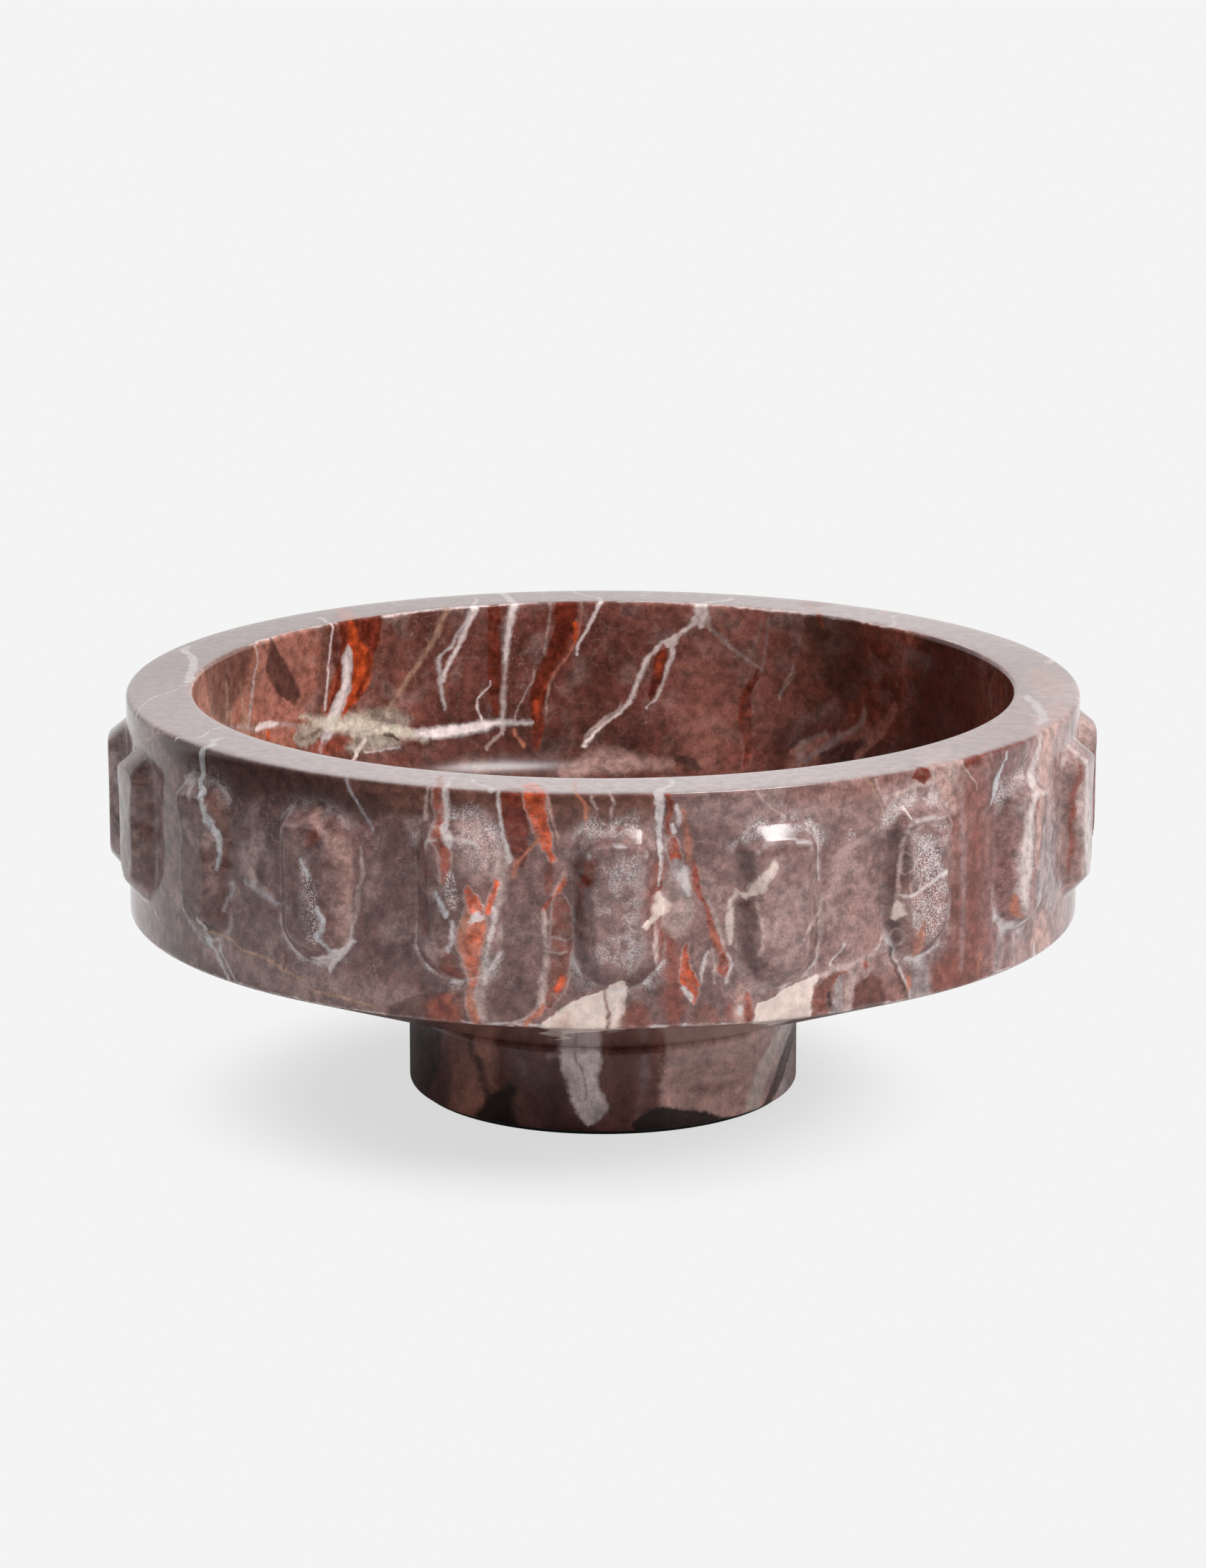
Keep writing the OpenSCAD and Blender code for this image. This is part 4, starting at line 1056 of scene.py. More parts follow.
# Veins of the foot by height
FOOT_VEINS = [
    vein(RUST, (0, -58, 6), (6, -56, 6), (12, -54, 4), (20, -50, 5), (28, -48, 5), edge=3, cover=0.7),
    vein(BLACK, (0, -33, 9), (5, -32, 7), (10, -31, 4), (14, -28, 2), edge=2),
    vein(BLACK, (28, -42, 2), (18, -38, 2), (10, -35, 2), (0, -30, 3), edge=2.5, cover=0.8),
    vein(DUSTY_PINK, (24, -24, 0.6), (21, -23.5, 1.6), (18, -24, 0.6), edge=2, cover=0.4),
    vein(BLACK, (0, -10, 10), (4, -11, 8), (8, -13, 4), (16, -14, 2), edge=3, cover=0.5),
    vein(BRIGHT, (30, -6.6, 6.4), (24, -6.8, 6.2), (18, -6, 5), (12, -4.4, 5.6), (8, -3.4, 4.4),
         (5, -3.6, 2), (3.4, -4, 0.4), edge=1.4, cover=0.88),
    vein(DUSTY_PINK, (27, -13, 1), (25.5, -15, 2), (24, -16, 0.5), edge=1.6, cover=0.6),
    vein(GREY, (22, -10.5, 0.8), (19, -10, 1.6), (16, -9, 0.6), edge=1.4, cover=0.5),
    vein(GREY, (9.5, -1.5, 0.8), (7.5, -0.5, 1.8), (6, -1.5, 0.8), edge=1.4, cover=0.6),
    vein(RUST, (27, -8, 0.2), (20, -5.5, 0.3), (12, -5, 0.2), cover=0.8),
    vein(MAROON, (28, 5.5, 3.5), (18, 6, 3.5), (8, 6, 3.5), edge=3, cover=0.7),
    vein(GREY, (25.5, 12, 0.8), (20, 12, 1.6), (14.5, 11, 0.6), edge=1.6, cover=0.45),
    vein(BROWN_RED, (30, 16.5, 2), (24, 16.4, 2.2), (18, 16, 1), edge=1.4),
    vein(DUSTY_PINK, (13, 10.5, 0.6), (10, 10, 1), (6, 10.5, 0.5), edge=1.4, cover=0.4),
    band(PALE_PINK, (18, 22, 0.6), (28, 23.5, 1.2), (38, 23, 1.4), (48, 24, 0.8), edge=2, cover=0.5),
    band(DUSTY_PINK, (18, 16.5, 0.5), (28, 18, 0.8), (38, 16.5, 1), (48, 17, 0.5), edge=2, cover=0.5),
    band(BROWN_RED, (20, 19.5, 0.4), (32, 20.5, 0.7), (44, 19, 0.5), edge=1.6, cover=0.4),
    band(RUST, (26, 13.5, 0.5), (36, 12.5, 1.6), (45, 13, 0.8), edge=2.4, cover=0.6),
    band(BLACK, (12, 3, 4), (17, 3.5, 5.5), (22, 3, 5.2), (28, 1.5, 5), (34, 0, 4.4), (41, -1.5, 3),
         edge=1),
    vein(CREAM, (28, 70, 5), (20, 60, 5), (13, 54, 4.6), (7, 51, 4), (2, 49.5, 3.4), edge=2, cover=0.9),
    vein(DARK, (26, 84, 5), (18, 74, 6), (11, 66, 5), (5, 60, 3.4), (1, 57, 2.4), edge=1.8, cover=0.85),
    *strewn_veins(35, 9, -172, -92, 2, 28),
    *strewn_veins(36, 9, 96, 172, 2, 28),
]

# Ground colour of the stone round the bowl and the foot: azimuth and linear colour
OUTER_GROUND = [
    (-180, (0.15, 0.085, 0.075)), (-110, (0.16, 0.10, 0.09)), (-76, (0.25, 0.18, 0.17)),
    (-62, (0.155, 0.093, 0.085)), (-46, (0.135, 0.072, 0.064)), (-30, (0.155, 0.078, 0.070)),
    (-15, (0.158, 0.078, 0.069)), (-8, (0.178, 0.096, 0.088)), (5, (0.180, 0.097, 0.089)),
    (16, (0.220, 0.124, 0.115)), (30, (0.228, 0.132, 0.121)), (45, (0.175, 0.076, 0.068)),
    (53, (0.178, 0.088, 0.083)), (66, (0.26, 0.16, 0.148)), (85, (0.2, 0.085, 0.068)),
    (130, (0.15, 0.08, 0.07)), (180, (0.15, 0.085, 0.075)),
]
RIM_GROUND = [
    (-180, (0.270, 0.210, 0.202)), (-100, (0.215, 0.164, 0.158)), (-60, (0.302, 0.237, 0.228)),
    (-20, (0.378, 0.308, 0.298)), (20, (0.400, 0.332, 0.322)), (60, (0.302, 0.227, 0.219)),
    (100, (0.290, 0.222, 0.213)), (140, (0.362, 0.294, 0.286)), (180, (0.270, 0.210, 0.202)),
]
INNER_GROUND = [
    (0, (0.18, 0.075, 0.058)), (100, (0.18, 0.046, 0.031)), (135, (0.21, 0.050, 0.030)),
    (147, (0.165, 0.058, 0.043)), (160, (0.385, 0.15, 0.118)), (174, (0.21, 0.073, 0.056)),
    (190, (0.145, 0.049, 0.037)), (205, (0.172, 0.061, 0.047)), (235, (0.30, 0.112, 0.079)),
    (265, (0.46, 0.22, 0.165)), (360, (0.18, 0.075, 0.058)),
]
FLOOR_GROUND = (0.21, 0.085, 0.066)
FOOT_GROUND = [
    (-180, (0.16, 0.085, 0.07)), (-76, (0.075, 0.045, 0.041)), (-56, (0.05, 0.027, 0.024)),
    (-49, (0.34, 0.15, 0.115)), (-34, (0.35, 0.15, 0.115)), (-31, (0.10, 0.03, 0.022)),
    (-27, (0.17, 0.078, 0.061)), (-14, (0.14, 0.052, 0.043)), (15, (0.18, 0.07, 0.056)),
    (18, (0.70, 0.42, 0.375)), (50, (0.61, 0.365, 0.325)), (57, (0.52, 0.32, 0.30)),
    (68, (0.68, 0.55, 0.52)), (90, (0.36, 0.22, 0.20)), (180, (0.16, 0.085, 0.07)),
]

# Millimetres of stone for a degree of azimuth: on the bowl, between those of its outer and its inner wall,
# and on the foot
BOWL_DEGREE = 2.5
FOOT_DEGREE = math.radians(FOOT_R)

# How veins are painted, in millimetres: the soft half of an edge and the taper of an end for each millimetre
# of their edge, the least taper, how far outside its edge a vein is gone, and the margin beside its path
SOFT_HALF = 0.8
TAPER = 0.5
LEAST_TAPER = 0.3
GONE = 1.0
PATH_MARGIN = 1.0

# How ragged the edge of a vein is: at no width, more for each millimetre of half width, and at most
RAGGED = 0.75
RAGGED_MORE = 0.25
RAGGED_MOST = 1.6

# Soft half of the edge of a halo, and how far a halo covers the stone
HALO_SOFT = 0.4
HALO_COVER = 0.55

# Veins with half widths up to this are worn thin in places
WIDE_VEIN = 4.0

# Noise in the stone: size of its features in millimetres, detail, the levels where it starts and is full and,
# for some, the strengths at those two levels
SPECKLE = (0.45, 2, 0.5, 0.62)
WEAR = (2.0, 4, 0.36, 0.58, 0.7, 1.0)
CLOUDS = (9, 4, 0.48, 0.72)
HAIR_PATCHES = (25, 2, 0.46, 0.6)
DARK_SPOTS = (4.5, 5, 0.56, 0.74)
FROST_CLOUDS = (4.5, 4, 0.42, 0.6, 0.15, 1.0)
FROST_DOTS = (0.45, 3, 0.42, 0.6, 0.2, 1.0)
EDGE_NOISE = (1.7, 4)
MOTTLE_LEVELS = (0.28, 0.72)

# Winding lines where a noise passes a level: size of the windings, detail, level and breadth
THREADS = (14, 5, 0.5, 0.012)
HAIRS = (8, 4, 0.46, 0.009)

# Veins across the floor, which are such lines too: size of the windings, colour and breadth, with their
# detail, level and cover, and the share of the breadth that is fully covered
FLOOR_THREADS = [(70, DARK_RED, 0.05), (55, RED, 0.018), (80, WHITE, 0.009), (45, PALE_PINK, 0.007)]
FLOOR_DETAIL = 5
FLOOR_LEVEL = 0.5
FLOOR_COVER = 0.85
FLOOR_CORE = 0.3

# Mottling: size in millimetres, detail, and the darkest and the lightest tone
GROUND_MOTTLE = [(17, 4, 0.7, 1.3)]
BOWL_MOTTLE = [(3.2, 4, 0.66, 1.34), (0.8, 2, 0.9, 1.1)]
FOOT_MOTTLE = [(3.2, 4, 0.8, 1.2), (0.8, 2, 0.9, 1.1)]
FLAME_MOTTLE = [(3.5, 5, 0.55, 1.4)]

# Red over green where the stone starts to be mottled as red stone and where it is all red, and what is
# added to the green, so that black stone isn't taken for red
REDNESS = (2.2, 3.2)
LEAST_GREEN = 0.02

# Green of stone that counts as dark and as pale, and the share of the mottling on pale stone and on the rim
PALENESS = (0.3, 0.45)
CALM = 0.4

# How far veins wind: size of the windings and millimetres to either side, for wide and for fine ones, and
# degrees to either side for the ground colour
BOWL_WINDINGS = [(11, 1.3), (2.2, 0.6)]
FOOT_WINDINGS = [(9, 1.2), (2, 0.6)]
BOWL_GROUND_STRAY = 5
FOOT_GROUND_STRAY = 4

# Strengths of the pale clouds and the dark spots in the ground
BOWL_CLOUDED = (0.36, 0.5)
FOOT_CLOUDED = (0.06, 0.35)

# Reaches between which the looks of the bowl change
CONE_FADE = (CONE_TO, 60.8)
RIM_START = (130.0, 131.0)
RIM_END = (149.0, 151.0)
INNER_START = (146.0, 150.0)
LOW_SHADE_START = (182.0, 200.0)
FLOOR_START = (FLOOR_FROM, FLOOR_FROM + 25)
FLOOR_VEINS_START = (FLOOR_FROM, FLOOR_FROM + 12)
POLISH_FADE = (150.0, 190.0)

# How far the colours of the rim and the cone cover the ground, and the rim's colour its veins
RIM_COVER = 0.85
RIM_VEIL = 0.45
CONE_COVER = 0.85

# Painted shade low on the inside and over the floor: the tone by which the colour there is multiplied
LOW_PAINTED_SHADE = (0.48, 0.40, 0.375)

# Roughness on the outside and on the floor, how much more where there is frost, and on the foot
POLISH = (0.13, 0.22)
FROST_ROUGH = 0.05
FOOT_POLISH = (0.2, 0.3)

# Strength and depth in millimetres of the bumps
FROST_BUMP = 0.12
FOOT_BUMP = 0.08
BUMP_DEPTH = 0.2

# Mirror reflection of the polished stone, where a half is that of glass
STONE_SHEEN = 0.4

# Finish of the hidden pieces: detail and levels of the noise, roughness to either side, bump and reflection
HIDDEN_NOISE = (3, 0.3, 0.7)
HIDDEN_ROUGH = 0.08
HIDDEN_BUMP = 0.3
HIDDEN_SHEEN = 0.5


class Tree:
    """A node tree being put together, with the colour it has reached so far."""

    def __init__(self, tree):
        self.tree = tree
        self.colour = None

    def add(self, kind, inputs, **settings):
        """A new node: sockets are linked to its inputs, and other values are set on them."""
        made = self.tree.nodes.new(kind)
        for key, value in settings.items():
            setattr(made, key, value)
        for key, value in inputs.items():
            if isinstance(value, bpy.types.NodeSocket):
                self.tree.links.new(value, made.inputs[key])
            elif made.inputs[key].type == "RGBA":
                made.inputs[key].default_value = (*value, 1)
            else:
                made.inputs[key].default_value = value
        return made

    def calc(self, operation, a, b=0.0, c=0.0):
        """The result of an operation on up to three numbers."""
        return self.add("ShaderNodeMath", {0: a, 1: b, 2: c}, operation=operation).outputs[0]

    def range(self, value, low, high, to_low=0.0, to_high=1.0, smooth=True):
        """A value brought from one range to another, and kept within it."""
        kind = "SMOOTHSTEP" if smooth else "LINEAR"
        inputs = {0: value, 1: low, 2: high, 3: to_low, 4: to_high}
        return self.add("ShaderNodeMapRange", inputs, interpolation_type=kind).outputs[0]

    def mix(self, share, below, above, blend="MIX"):
        """Two colours mixed by the share of the upper one."""
        inputs = {0: share, 6: below, 7: above}
        return self.add("ShaderNodeMix", inputs, data_type="RGBA", blend_type=blend).outputs[2]

    def cover(self, share, colour):
        """Paints a colour over a share of the colour so far."""
        self.colour = self.mix(share, self.colour, colour)

    def shade(self, tone, share=1.0):
        """Multiplies a share of the colour so far by a tone."""
        self.colour = self.mix(share, self.colour, tone, "MULTIPLY")

    def curve(self, share, places, values):
        """A smooth curve through values from 0 to 1."""
        made = self.add("ShaderNodeFloatCurve", {"Value": share})
        points = made.mapping.curves[0].points
        points[0].location = (places[0], values[0])
        points[1].location = (places[-1], values[-1])
        for place, value in zip(places[1:-1], values[1:-1]):
            points.new(place, value)
        for point in points:
            point.handle_type = "AUTO_CLAMPED"
        made.mapping.update()
        return made.outputs[0]


class VeinGroup(Tree):
    """A node group that paints a list of veins over a colour."""

    def __init__(self, name, layers, degree, to_reach):
        super().__init__(bpy.data.node_groups.new(name, "ShaderNodeTree"))
        sockets = self.tree.interface
        sockets.new_socket("Colour", in_out="INPUT", socket_type="NodeSocketColor")
        for number in ("Azimuth", "Reach", "Speckle", "Ragged", "Wear"):
            sockets.new_socket(number, in_out="INPUT", socket_type="NodeSocketFloat")
        sockets.new_socket("Colour", in_out="OUTPUT", socket_type="NodeSocketColor")
        given = self.tree.nodes.new("NodeGroupInput").outputs
        self.colour, self.azimuth, self.reach, self.speckle, self.ragged, self.wear = given[:6]
        self.degree = degree
        self.to_reach = to_reach
        for layer in layers:
            self.paint(layer)
        self.add("NodeGroupOutput", {0: self.colour})

    def depth(self, layer):
        """Millimetres inside a vein's edge, negative outside it."""
        if layer.level:
            points = [(turn * self.degree, self.to_reach(z), half) for turn, z, half in layer.points]
            along, across = self.azimuth, self.reach
        else:
            points = [(self.to_reach(z), turn * self.degree, half) for z, turn, half in layer.points]
            along, across = self.reach, self.azimuth
        points.sort()
        first, last = points[0], points[-1]
        gone = GONE + SOFT_HALF * layer.edge
        taper = LEAST_TAPER + TAPER * layer.edge
        points.insert(0, (first[0] - first[2] - taper, first[1], -gone))
        points.append((last[0] + last[2] + taper, last[1], -gone))
        start, span = points[0][0], points[-1][0] - points[0][0]
        left = min(p[1] for p in points) - PATH_MARGIN
        spread = max(p[1] for p in points) + PATH_MARGIN - left
        widest = max(p[2] for p in points)
        places = [(p[0] - start) / span for p in points]
        share = self.range(along, start, start + span, smooth=False)
        path = self.curve(share, places, [(p[1] - left) / spread for p in points])
        half = self.curve(share, places, [(p[2] + gone) / (widest + gone) for p in points])
        away = self.calc("SUBTRACT", across, self.calc("MULTIPLY_ADD", path, spread, left))
        rough = min(RAGGED + RAGGED_MORE * widest, RAGGED_MOST)
        ragged = self.calc("MULTIPLY_ADD", self.ragged, rough, -gone)
        inside = self.calc("MULTIPLY_ADD", half, widest + gone, ragged)
        return self.calc("SUBTRACT", inside, self.calc("ABSOLUTE", away))

    def paint(self, layer):
        """Paints one vein, over a halo if it has one."""
        depth = self.depth(layer)
        if layer.halo:
            halo = self.range(depth, -layer.halo - HALO_SOFT, -layer.halo + HALO_SOFT, 0.0, HALO_COVER)
            self.cover(halo, PALE_PINK)
        soft = SOFT_HALF * layer.edge
        share = self.range(depth, -soft, soft, 0.0, layer.cover)
        if layer.grain:
            share = self.calc("MULTIPLY", share, self.speckle)
        elif max(half for _, _, half in layer.points) < WIDE_VEIN:
            share = self.calc("MULTIPLY", share, self.wear)
        self.cover(share, layer.colour)


class Material(Tree):
    """A material, painted layer by layer: each layer covers part of the colour below it."""

    def __init__(self, name):
        self.material = bpy.data.materials.new(name)
        self.material.use_nodes = True
        super().__init__(self.material.node_tree)
        self.shader = self.tree.nodes["Principled BSDF"]
        self.place = self.add("ShaderNodeTexCoord", {}).outputs["Object"]

    def attribute(self, name):
        """What the mesh keeps at each vertex under a name."""
        return self.add("ShaderNodeAttribute", {}, attribute_name=name).outputs

    def noise(self, size, detail=2.0):
        """A level and a colour of noise with features of about that size in millimetres."""
        inputs = {"Vector": self.place, "Scale": 1 / (size * MM), "Detail": detail}
        return self.add("ShaderNodeTexNoise", inputs).outputs[:2]

    def patches(self, size, detail, low, high, to_low=0.0, to_high=1.0):
        """Noise brought from a range of its levels to a range of strengths."""
        return self.range(self.noise(size, detail)[0], low, high, to_low, to_high)

    def lines(self, size, detail, level, breadth, cover, core=0.0):
        """Winding lines where a noise passes a level, with the share of their breadth that is full."""
        away = self.calc("ABSOLUTE", self.calc("SUBTRACT", self.noise(size, detail)[0], level))
        return self.range(away, core * breadth, breadth, cover, 0.0)

    def mottle(self, tones, share=1.0):
        """Darkens and lightens a share of the colour so far by noise."""
        for size, detail, low, high in tones:
            level = self.patches(size, detail, *MOTTLE_LEVELS)
            self.shade(self.mix(level, (low, low, low), (high, high, high)), share)

    def azimuth(self, x, y, middle):
        """Azimuth in degrees, running 180 either way from the middle."""
        turn = self.calc("ARCTAN2", x, self.calc("MULTIPLY", y, -1.0))
        return self.calc("MULTIPLY_ADD", turn, math.degrees(1), middle)

    def set_windings(self, windings):
        """Noise that moves the veins and the ground colours about: sizes, and amounts to either side."""
        self.windings = []
        for size, amount in windings:
            channels = self.add("ShaderNodeSeparateColor", {0: self.noise(size)[1]}).outputs
            self.windings.append((channels, amount))

    def stray(self, value, channel, amount):
        """A value moved by a channel of noise, by an amount to either side."""
        return self.calc("MULTIPLY_ADD", self.calc("SUBTRACT", channel, 0.5), 2 * amount, value)

    def wind(self, value, axis):
        """A length in millimetres moved about by all the windings, along one of two axes."""
        for channels, amount in self.windings:
            value = self.stray(value, channels[axis], amount)
        return value

    def ramp(self, azimuth, stops, stray=0.0):
        """Colours round the stone, from stops of azimuth and colour, which may stray by some degrees."""
        if stray:
            azimuth = self.stray(azimuth, self.windings[0][0][2], stray)
        low, high = stops[0][0], stops[-1][0]
        made = self.add("ShaderNodeValToRGB", {0: self.range(azimuth, low, high, smooth=False)})
        elements = made.color_ramp.elements
        elements.remove(elements[0])
        for i, (turn, colour) in enumerate(stops):
            place = (turn - low) / (high - low)
            element = elements[0] if i == 0 else elements.new(place)
            element.position = place
            element.color = (*colour, 1)
        return made.outputs[0]

    def veins(self, name, layers, degree, azimuth, reach, to_reach=lambda z: z):
        """Paints a list of veins, whose heights are turned into reaches."""
        group = VeinGroup(name, layers, degree, to_reach)
        made = self.add("ShaderNodeGroup", {}, node_tree=group.tree)
        for socket, value in zip(made.inputs, (self.colour, azimuth, reach, *self.texture)):
            self.tree.links.new(value, socket)
        self.colour = made.outputs[0]

    def stone_texture(self):
        """Noise that breaks up the veins: speckle, raggedness of their edges and wear of their cover."""
        speckle = self.patches(*SPECKLE)
        ragged = self.calc("SUBTRACT", self.noise(*EDGE_NOISE)[0], 0.5)
        self.texture = (speckle, ragged, self.patches(*WEAR))

    def ground(self, colour, pale, dark):
        """Pale clouds and threads and dark spots over the ground colour, with their strengths."""
        self.colour = colour
        self.mottle(GROUND_MOTTLE)
        self.cover(self.patches(*CLOUDS, 0.0, pale), PALE_PINK)
        self.cover(self.lines(*THREADS, pale / 2), PALE_PINK)
        self.cover(self.calc("MULTIPLY", self.lines(*HAIRS, pale), self.patches(*HAIR_PATCHES)), PALE_PINK)
        self.cover(self.patches(*DARK_SPOTS, 0.0, dark), DARK)

    def floor_veins(self, reach):
        """Veins that cross the floor of the bowl, this way and that."""
        on_floor = self.range(reach, *FLOOR_VEINS_START)
        for size, colour, breadth in FLOOR_THREADS:
            thread = self.lines(size, FLOOR_DETAIL, FLOOR_LEVEL, breadth, FLOOR_COVER, FLOOR_CORE)
            self.cover(self.calc("MULTIPLY", on_floor, thread), colour)

    def flames(self):
        """Darkens and lightens the red of the stone unevenly."""
        red, green, _ = self.add("ShaderNodeSeparateColor", {0: self.colour}).outputs
        redness = self.calc("DIVIDE", red, self.calc("ADD", green, LEAST_GREEN))
        self.mottle(FLAME_MOTTLE, self.range(redness, *REDNESS))

    def finish(self, roughness, height, bump, sheen):
        """Links up the shader. Sheen is the mirror reflection, where a half is that of glass."""
        links = self.tree.links
        self.shader.inputs["Specular IOR Level"].default_value = sheen
        links.new(self.colour, self.shader.inputs["Base Color"])
        links.new(roughness, self.shader.inputs["Roughness"])
        bumps = {"Height": height, "Strength": bump, "Distance": BUMP_DEPTH * MM}
        made = self.add("ShaderNodeBump", bumps)
        links.new(made.outputs[0], self.shader.inputs["Normal"])
        return self.material


def bowl_marble(name, outer=None, inner_rim=None, inner=None, low=None, on_floor=False):
    """Marble of one part of the bowl, with its groups of veins.

    The outer ones go by azimuths from -180 to 180, and the others by azimuths from 0 to 360. All go by
    reach, apart from the inner ones, which go by height."""
    paint = Material(name)
    x, y, reach = paint.add("ShaderNodeSeparateXYZ", {0: paint.attribute("spot")["Vector"]}).outputs
    frost = paint.attribute("frost")["Fac"]
    outline = paint.attribute("outline")["Fac"]
    front = paint.azimuth(x, y, 0.0)
    back = paint.azimuth(paint.calc("MULTIPLY", x, -1.0), paint.calc("MULTIPLY", y, -1.0), 180.0)
    paint.set_windings(BOWL_WINDINGS)
    front_mm = paint.wind(paint.calc("MULTIPLY", front, BOWL_DEGREE), 0)
    back_mm = paint.wind(paint.calc("MULTIPLY", back, BOWL_DEGREE), 0)
    reach_mm = paint.wind(reach, 1)
    paint.stone_texture()

    outer_ground = paint.ramp(front, OUTER_GROUND, BOWL_GROUND_STRAY)
    inner_ground = paint.ramp(back, INNER_GROUND, BOWL_GROUND_STRAY)
    if on_floor:
        inner_ground = paint.mix(paint.range(reach, *FLOOR_START), inner_ground, FLOOR_GROUND)
    paint.ground(paint.mix(paint.range(reach, *INNER_START), outer_ground, inner_ground), *BOWL_CLOUDED)
    # Painted shade: darker low in the bowl and over its floor
    paint.shade(paint.mix(paint.range(reach, *LOW_SHADE_START), (1, 1, 1), LOW_PAINTED_SHADE))
    if on_floor:
        paint.floor_veins(reach)
    rim_end = paint.range(reach, *RIM_END, RIM_COVER, 0.0)
    on_rim = paint.calc("MULTIPLY", paint.range(reach, *RIM_START), rim_end)
    rim_ground = paint.ramp(front, RIM_GROUND)
    paint.cover(on_rim, rim_ground)
    paint.cover(paint.range(reach, *CONE_FADE, CONE_COVER, 0.0), CONE_BROWN)

    for place, layers in (outer or {}).items():
        paint.veins("outer_" + place, layers, BOWL_DEGREE, front_mm, reach_mm)
    for place, layers in (inner_rim or {}).items():
        paint.veins("inner_" + place, layers, BOWL_DEGREE, back_mm, reach_mm)
    for place, layers in (inner or {}).items():
        paint.veins("inner_" + place, layers, BOWL_DEGREE, back_mm, reach_mm, lambda z: INNER_TURN - z)
    for place, layers in (low or {}).items():
        paint.veins("inner_" + place, layers, BOWL_DEGREE, back_mm, reach_mm)
    paint.flames()
    paint.cover(paint.calc("MULTIPLY", on_rim, RIM_VEIL), rim_ground)

    _, green, _ = paint.add("ShaderNodeSeparateColor", {0: paint.colour}).outputs
    dark = paint.range(green, *PALENESS, 1.0, CALM)
    calm = paint.calc("MULTIPLY", dark, paint.range(on_rim, 0.0, RIM_COVER, 1.0, CALM))
    paint.mottle(BOWL_MOTTLE, calm)
    cloud = paint.patches(*FROST_CLOUDS)
    dots = paint.patches(*FROST_DOTS)
    # Pale lines round the lugs, which along the tops of their faces are partly a painted highlight
    paint.cover(paint.calc("MULTIPLY", outline, cloud), WHITE)
    frosted = paint.calc("MULTIPLY", paint.calc("MULTIPLY", frost, cloud), dots)
    paint.cover(frosted, FROST)
    roughness = paint.calc("MULTIPLY_ADD", frosted, FROST_ROUGH, paint.range(reach, *POLISH_FADE, *POLISH))
    return paint.finish(roughness, frosted, FROST_BUMP, STONE_SHEEN)


def foot_marble():
    """Marble of the foot, with its veins placed by azimuth from the front and by height."""
    paint = Material("foot_marble")
    x, y, z = paint.add("ShaderNodeSeparateXYZ", {0: paint.place}).outputs
    height = paint.calc("MULTIPLY", z, 1 / MM)
    front = paint.azimuth(x, y, 0.0)
    paint.set_windings(FOOT_WINDINGS)
    front_mm = paint.wind(paint.calc("MULTIPLY", front, FOOT_DEGREE), 0)
    height_mm = paint.wind(height, 1)
    paint.stone_texture()
    paint.ground(paint.ramp(front, FOOT_GROUND, FOOT_GROUND_STRAY), *FOOT_CLOUDED)
    paint.veins("foot_veins", FOOT_VEINS, FOOT_DEGREE, front_mm, height_mm)
    paint.mottle(FOOT_MOTTLE)
    paint.flames()
    speckle = paint.texture[0]
    roughness = paint.range(speckle, 0.0, 1.0, *FOOT_POLISH)
    return paint.finish(roughness, speckle, FOOT_BUMP, STONE_SHEEN)


def plain_finish(name, dark, light, size, roughness, metal=0.0):
    """A finish for the hidden pieces: two close colours mixed by fine noise."""
    paint = Material(name)
    share = paint.patches(size, *HIDDEN_NOISE)
    paint.colour = paint.mix(share, dark, light)
    paint.shader.inputs["Metallic"].default_value = metal
    rough = paint.range(share, 0.0, 1.0, roughness - HIDDEN_ROUGH, roughness + HIDDEN_ROUGH)
    return paint.finish(rough, share, HIDDEN_BUMP, HIDDEN_SHEEN)


# Groups of veins on each sector of the outer wall
SECTOR_VEINS = {
    "left": ("edges", "left", "third_left", "back_left"),
    "front": ("edges", "second_left", "middle", "second_right"),
    "right": ("edges", "second_right", "between", "third_right", "fourth_right", "right", "back_right"),
}
for sector in SECTORS:
    outer = {place: OUTER_VEINS[place] for place in SECTOR_VEINS[sector]} | RIM_VEINS
    bowl.data.materials.append(bowl_marble("bowl_marble_" + sector, outer, INNER_RIM_VEINS))
bowl.data.materials.append(bowl_marble("bowl_marble_cone", CONE_VEINS))
inside = bowl_marble("bowl_marble_inside", inner_rim=INNER_RIM_VEINS, inner=INNER_VEINS, low=LOW_VEINS)
bowl.data.materials.append(inside)
bowl.data.materials.append(bowl_marble("bowl_marble_floor", on_floor=True))
foot.data.materials.append(foot_marble())
HIDDEN_FINISHES = {
    "bond_line": plain_finish("adhesive", (0.16, 0.13, 0.11), (0.24, 0.20, 0.17), 1.5, 0.6),
    "dowel": plain_finish("steel", (0.42, 0.42, 0.43), (0.56, 0.56, 0.57), 0.6, 0.35, metal=1.0),
    "base_pad": plain_finish("felt", (0.012, 0.02, 0.014), (0.03, 0.045, 0.032), 0.5, 0.9),
}
for node, finish in HIDDEN_FINISHES.items():
    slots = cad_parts[node].data.materials
    slots.clear()
    slots.append(finish)

